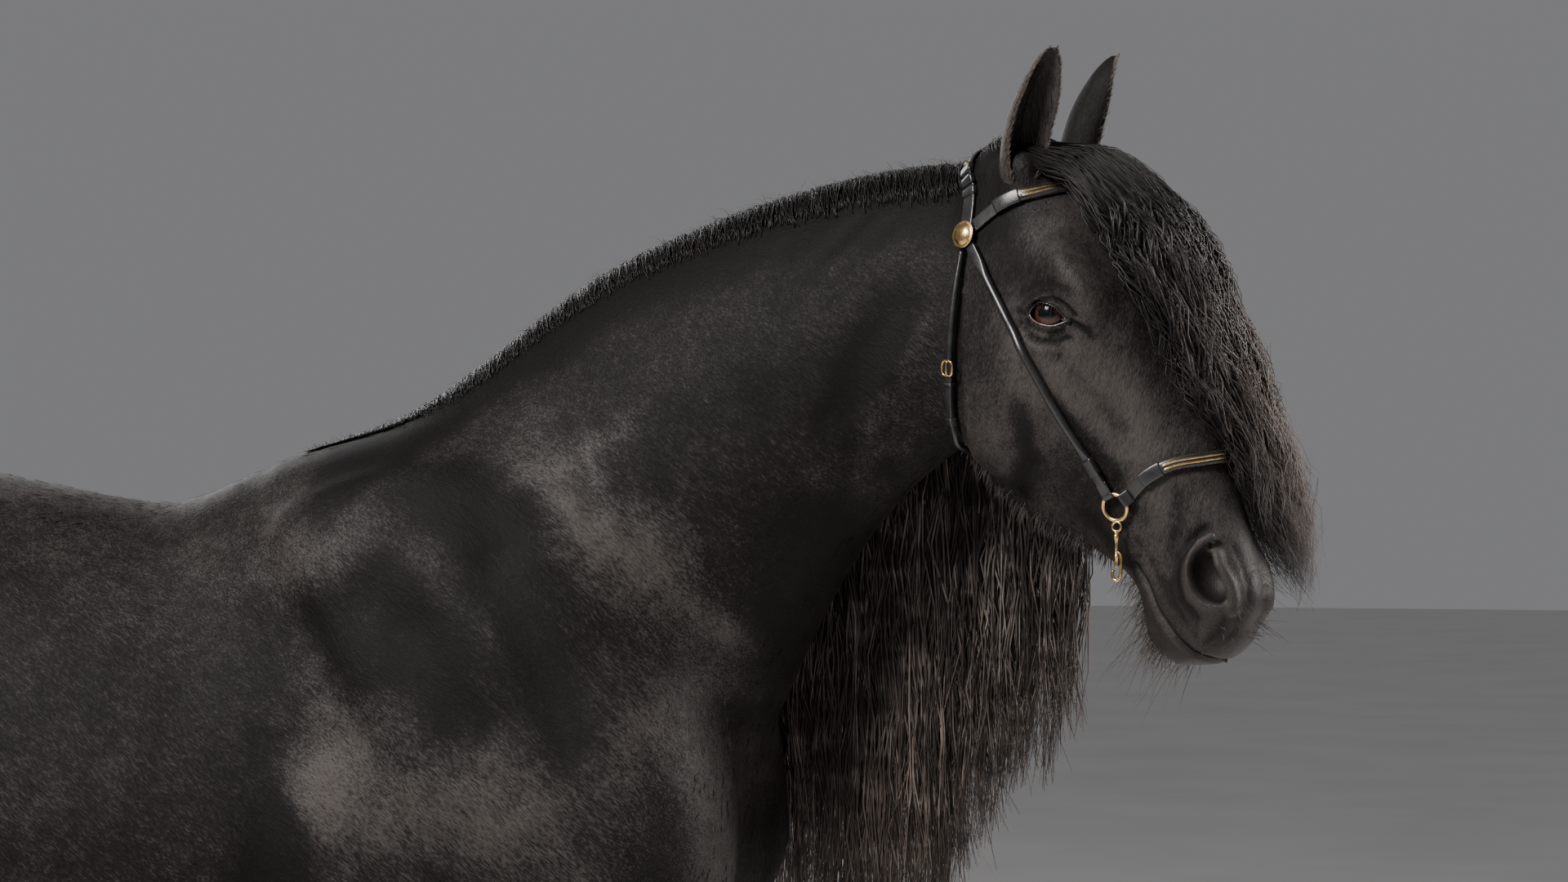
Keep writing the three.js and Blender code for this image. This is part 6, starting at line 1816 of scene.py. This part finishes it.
# small tufts over the skin, closer together where the coat breaks the outline
def makeTufts():
    tri = concatenate([skinQuads[:, [0, 1, 2]], skinQuads[:, [0, 2, 3]]])
    tri = tri[(tri < len(skinNormal)).all(1)]
    a, b, c = (skinPoints[tri[:, k]] for k in range(3))
    normal = np.cross(b - a, c - a)
    facing = unit(normal)
    q, v, z = ((a + b + c) / 3).T
    side = abs(v)
    u, w = toFace(q, z)
    head = (q > 800) & (z > 1300)
    edge = 1.6 * ease(-facing[:, 2], 0.35, 0.8) + 1.2 * ease(facing[:, 2], 0.82, 0.97)
    edge += 1.0 * ease(abs(facing[:, 0]), 0.7, 0.95)
    edge += 2.2 * ((u > 60) & (w < -150) & head & (side < 60))
    edge += 2.0 * ((z < 620) & (z > 300) & (facing[:, 0] < -0.3))
    edge *= np.linalg.norm(normal, axis=1)
    body = edge * ~head * (z > 240) * (q > -1180) * ~((q > 600) & (z > 1500) & (side > 24))
    blocked = (hypot(*eyePlane(q, z)) < 40) & (side > 60) | (q < 852) & (side > 40)
    for name, weight, angle in (("body", body, 0.16), ("face", edge * head * ~blocked * (u < 470), 0.20)):
        count = tufts[name]
        pick = rng.choice(len(tri), count, p=weight / weight.sum())
        s, t = np.sort(rng.random((2, count)), 0)
        root = a[pick] * s[:, None] + b[pick] * (t - s)[:, None] + c[pick] * (1 - t)[:, None]
        up = facing[pick]
        lie = lieAt(root) + rng.normal(0, 0.14, (count, 3))
        lie = unit(lie - up * (lie * up).sum(1, keepdims=True))
        length = rng.uniform(*tufts[name + "Long"], (count, 1, 1))
        k = linspace(0, 1, tufts["points"])[:, None]
        rise = -0.5 + length * rng.uniform(0.3, 1.4, (count, 1, 1)) * angle * k * (1.25 - 0.6 * k) + 0.5 * k
        paths = root[:, None] + lie[:, None] * length * k + up[:, None] * rise
        q, v, z = root.T
        place = (q + 0.2 * z, np.arctan2(v, z - np.where(z > 800, 1200, z + 40)))
        half = spindle(paths, *tufts[name + "HalfWidth"])
        values = skinValues(root, count)
        lockPieces(name + "Tufts", paths, up[:, None], half, place, values, coatFinish, flat=0.3)


makeTufts()


earHair = {"inside": 520, "edge": 760}


# Hairs on an ear: from their bases they rise towards up, lean away and curl; shape holds the rise, the
# lean and its power, and the share of the curl
def earLocks(name, m, base, up, away, long, shape, curl, halfWidth, root, values):
    k = linspace(0, 1, m)[:, None]
    rise, lean, power, bend = shape
    up = unit(up - base)
    way = up[:, None] * rise * k + away[:, None] * lean * k ** power + bend * curl[:, None] * k ** 2
    paths = base[:, None] + long[:, None, None] * way
    lockPieces(name, paths, away[:, None], spindle(paths, *halfWidth), root, values, tuftFinish)


# the soft fringe along an ear's rim, and light hairs that rise inside it
def makeEarHair(side):
    rings, n, levels = earRings(side), ear["around"], ear["levels"]
    outer, inner = rings[:, :n], rings[:, n:][:, ::-1]

    def toMiddle(cup, row, base):
        return unit(sampled(np.repeat(cup.mean(1, keepdims=True), 2, 1), row, 0 * row) - base)

    count = earHair["edge"]
    row = rng.uniform(6, levels - 1.5, count)
    front = rng.random(count) < 0.55
    column = np.where(front, rng.uniform(0, 1.2, count), n - 1 - rng.uniform(0, 1.2, count))
    base = sampled(outer, row, column)
    tangent = sampled(outer, row, np.where(front, column + 1.5, column - 1.5)) - base
    away = unit(-0.35 * toMiddle(outer, row, base) - 0.65 * unit(tangent))
    long = rng.uniform(4, 11, count) * (1 - 0.5 * (row / levels))
    curl = unit(rng.normal(0, 1, (count, 3)))
    values = {"tone": rng.uniform(0.5, 1, count), "tan": rng.uniform(0.3, 0.9, count)}
    earLocks(sideName("earFringe", side), 5, base, sampled(outer, row + 1.5, column), away, long,
             (0.85, 0.65, 0.8, 0.18), curl, (0.3, 0.6), (row, column), values)
    count = earHair["inside"]
    row, column = rng.uniform(4, levels * 0.62, count), rng.uniform(1.5, n - 2.5, count)
    band = rng.random(count) < 0.5
    column = np.where(band, clip(rng.normal(4.5, 1.1, count), 0.5, n - 2), column)
    base = sampled(inner, row, column)
    long = rng.uniform(14, 34, count)
    curl = unit(rng.normal(0, 1, (count, 3)))
    values = {"tone": rng.uniform(0.4, 1, count),
              "tan": np.where(band, rng.uniform(0.6, 1.0, count), rng.uniform(0.1, 0.5, count))}
    earLocks(sideName("earHair", side), 6, base, sampled(inner, row + 2, column), toMiddle(inner, row, base),
             long, (1, 0.34, 1.3, 0.10), curl, (0.3, 0.65), (row, column), values)


for side in (-1, 1):
    makeEarHair(side)


# Single long hairs: root and direction are given in the head frame (u, w, v), and gravity bends them
def faceHairs(name, root, way, long, droop, halfWidth, tan):
    p, _ = settled(closedField, onFace(root), -2.0, 12.0, 6)
    way = unit(unit(way) @ np.array([(headCos, 0, -headSin), (headSin, 0, headCos), (0, 1.0, 0)]))
    k = linspace(0, 1, 7)[:, None]
    curl = unit(rng.normal(0, 1, (len(long), 3)))[:, None]
    bent = way[:, None] * k + np.array([0, 0, -1.0]) * droop * k ** 2 + curl * 0.05 * sin(k * pi * 1.2)
    paths = p[:, None] + long[:, None, None] * bent
    u, w, v = root.T
    out, half = np.cross(way, (0.2, 0.9, 0.1))[:, None], spindle(paths, *halfWidth)
    values = {"tone": rng.uniform(0.3, 1, len(long)), "tan": tan}
    lockPieces(name, paths, out, half, (u + v, w + 0.7 * v), values, tuftFinish, flat=1.0)


whiskers = {"chin": 420, "lip": 150, "eye": 14, "jaw": 460, "lashes": 90}


# numbers around each mean, side by side
def scattered(count, *rows):
    return stacked(*[rng.normal(mean, spread, count) for mean, spread in rows])


def makeWhiskers():
    n = whiskers["chin"]
    u, v = rng.triangular(470, 575, 612, n), rng.uniform(-34, 34, n)
    way = scattered(n, (0.55, 0.3), (-0.9, 0.22), (0, 0.22)) + stacked(0, 0, v / 60)
    long = np.where(rng.random(n) < 0.16, rng.uniform(34, 78, n), rng.uniform(10, 30, n))
    faceHairs("chinHairs", stacked(u, 30 * ease(u, 585, 612) - 78, v), way, long, 0.30, (0.28, 0.5),
              rng.uniform(0.1, 0.8, n))
    n = whiskers["lip"]
    u, v = rng.uniform(520, 612, n), rng.uniform(-46, 46, n)
    w = mixed(70, 12, ease(u, 530, 612)) * np.sqrt(clip(1 - (v / 60) ** 2, 0, 1))
    way = scattered(n, (0.7, 0.3), (0.6, 0.3), (0, 0.2)) + stacked(0, 0, v / 50)
    long = np.where(rng.random(n) < 0.2, rng.uniform(22, 46, n), rng.uniform(5, 14, n))
    faceHairs("lipHairs", stacked(u, w, v), way, long, 0.15, (0.22, 0.4), rng.uniform(0.2, 0.8, n))
    n = whiskers["jaw"]
    u, v = rng.uniform(290, 470, n), rng.normal(0, 22, n)
    w = interp(u, *np.array(headRows)[:, [0, 2]].T)
    way = scattered(n, (0.75, 0.2), (-0.55, 0.2), (0, 0.15)) + stacked(0, 0, v / 120)
    faceHairs("jawHairs", stacked(u, w, v), way, rng.uniform(8, 20, n), 0.2, (0.4, 0.8),
              rng.uniform(0, 0.3, n))
    for side in (-1, 1):
        makeEyeHairs(side)


# long hairs above and below the eye, and the lashes of the upper lid, fanned out and down
def makeEyeHairs(side):
    n = whiskers["eye"]
    a, above = rng.uniform(-20, 24, n), rng.random(n) < 0.5
    b = np.where(above, rng.uniform(15, 24, n), rng.uniform(-28, -18, n))
    u, w = toFace(*fromEyePlane(a, b))
    way = stacked(rng.normal(0, 0.4, n), rng.normal(0.2, 0.3, n), side)
    long = rng.uniform(14, 46, n)
    faceHairs(sideName("eyeHairs", side), stacked(u, w, side * 96.0), way, long, 0.3, (0.2, 0.32),
              rng.uniform(0, 0.3, n))
    n = whiskers["lashes"]
    a = np.sort(rng.uniform(eye["a0"] + 3, eye["a1"] - 9, n))
    upper, _ = lidEdges(a)
    q, z = fromEyePlane(a, upper + 0.6)
    v = 59 + reachOf(closedField, stacked(q, 60.0, z), sideways, 70)
    fan, up = (a - 2) / 40, np.array([0.35, 0, 0.94])
    k = linspace(0, 1, 6)[:, None]
    long = (rng.uniform(9, 17, n) * (0.7 + 0.3 * cos(fan * 2)))[:, None, None]
    way = stacked(0.1 + fan * 0.7 + rng.normal(0, 0.1, n), side * 0.9, -0.55 + rng.normal(0, 0.1, n))
    paths = stacked(q, side * v, z)[:, None] + long * (unit(way)[:, None] * k + up * 0.30 * k ** 2.2)
    out, half, root = np.broadcast_to(up, (n, 1, 3)), spindle(paths, 0.25, 0.4), (a, upper + rng.random(n))
    values = {"tone": rng.uniform(0, 0.4, n), "tan": np.zeros(n)}
    lockPieces(sideName("lashes", side), paths, out, half, root, values, tuftFinish, flat=0.8)


makeWhiskers()
print("hair made")

view = {"yaw": 12.0, "focal": 80.625, "place": (1.4654, -4.101, 1.605)}


def makeCamera():
    data = bpy.data.cameras.new("camera")
    data.lens, data.sensor_width = view["focal"], 36
    data.clip_end = 100
    camera = bpy.data.objects.new("camera", data)
    camera.location = view["place"]
    camera.rotation_euler = (pi / 2, 0, radians(view["yaw"]))
    bpy.context.scene.collection.objects.link(camera)
    bpy.context.scene.camera = camera


def makeFloor():
    reach = 30000
    points = np.array([(-reach, -reach, 0), (reach, -reach, 0), (reach, reach, 0), (-reach, reach, 0)]) * mm
    floor = meshPiece("floor", points, np.array([(0, 1, 2, 3)]), bent=False)
    f = Finish("paleFloor")
    cloud = f.noise(f.place(), 1.4, 3.0)
    colour = f.blend(f.span(cloud, 0.3, 0.7), (0.66, 0.65, 0.64), (0.72, 0.71, 0.70))
    f.set(Base_Color=colour, Roughness=0.75)
    floor.data.materials.append(f.material)


lights = {
    "keyLight": {"place": (-1.4, -3.4, 4.4), "target": (0.5, 0, 1.4), "size": (1.6, 1.2), "power": 420,
                 "colour": (1.0, 0.97, 0.94)},
    "rimLight": {"place": (4.2, 1.2, 2.6), "target": (0.9, -0.2, 1.5), "size": (1.0, 2.2), "power": 240,
                 "colour": (1.0, 0.96, 0.92)},
    "farFill": {"place": (-3.5, 4.5, 3.2), "target": (0, 0, 1.2), "size": (2.5, 2.5), "power": 110,
                "colour": (1, 1, 1)},
}
air = {"colour": (0.66, 0.66, 0.68, 1), "strength": 0.30}


def areaLight(name, place, target, size, power, colour):
    data = bpy.data.lights.new(name, "AREA")
    data.shape, data.size, data.size_y = "RECTANGLE", size[0], size[1]
    data.energy, data.color = power, colour
    lamp = bpy.data.objects.new(name, data)
    lamp.location = place
    lamp.rotation_euler = (Vector(target) - Vector(place)).to_track_quat("-Z", "Y").to_euler()
    bpy.context.scene.collection.objects.link(lamp)


def makeStudio():
    for name, light in lights.items():
        areaLight(name, **light)
    world = bpy.data.worlds.new("studio")
    world.use_nodes = True
    sockets = world.node_tree.nodes["Background"].inputs
    sockets["Color"].default_value, sockets["Strength"].default_value = air["colour"], air["strength"]
    bpy.context.scene.world = world


makeCamera()
makeFloor()
makeStudio()
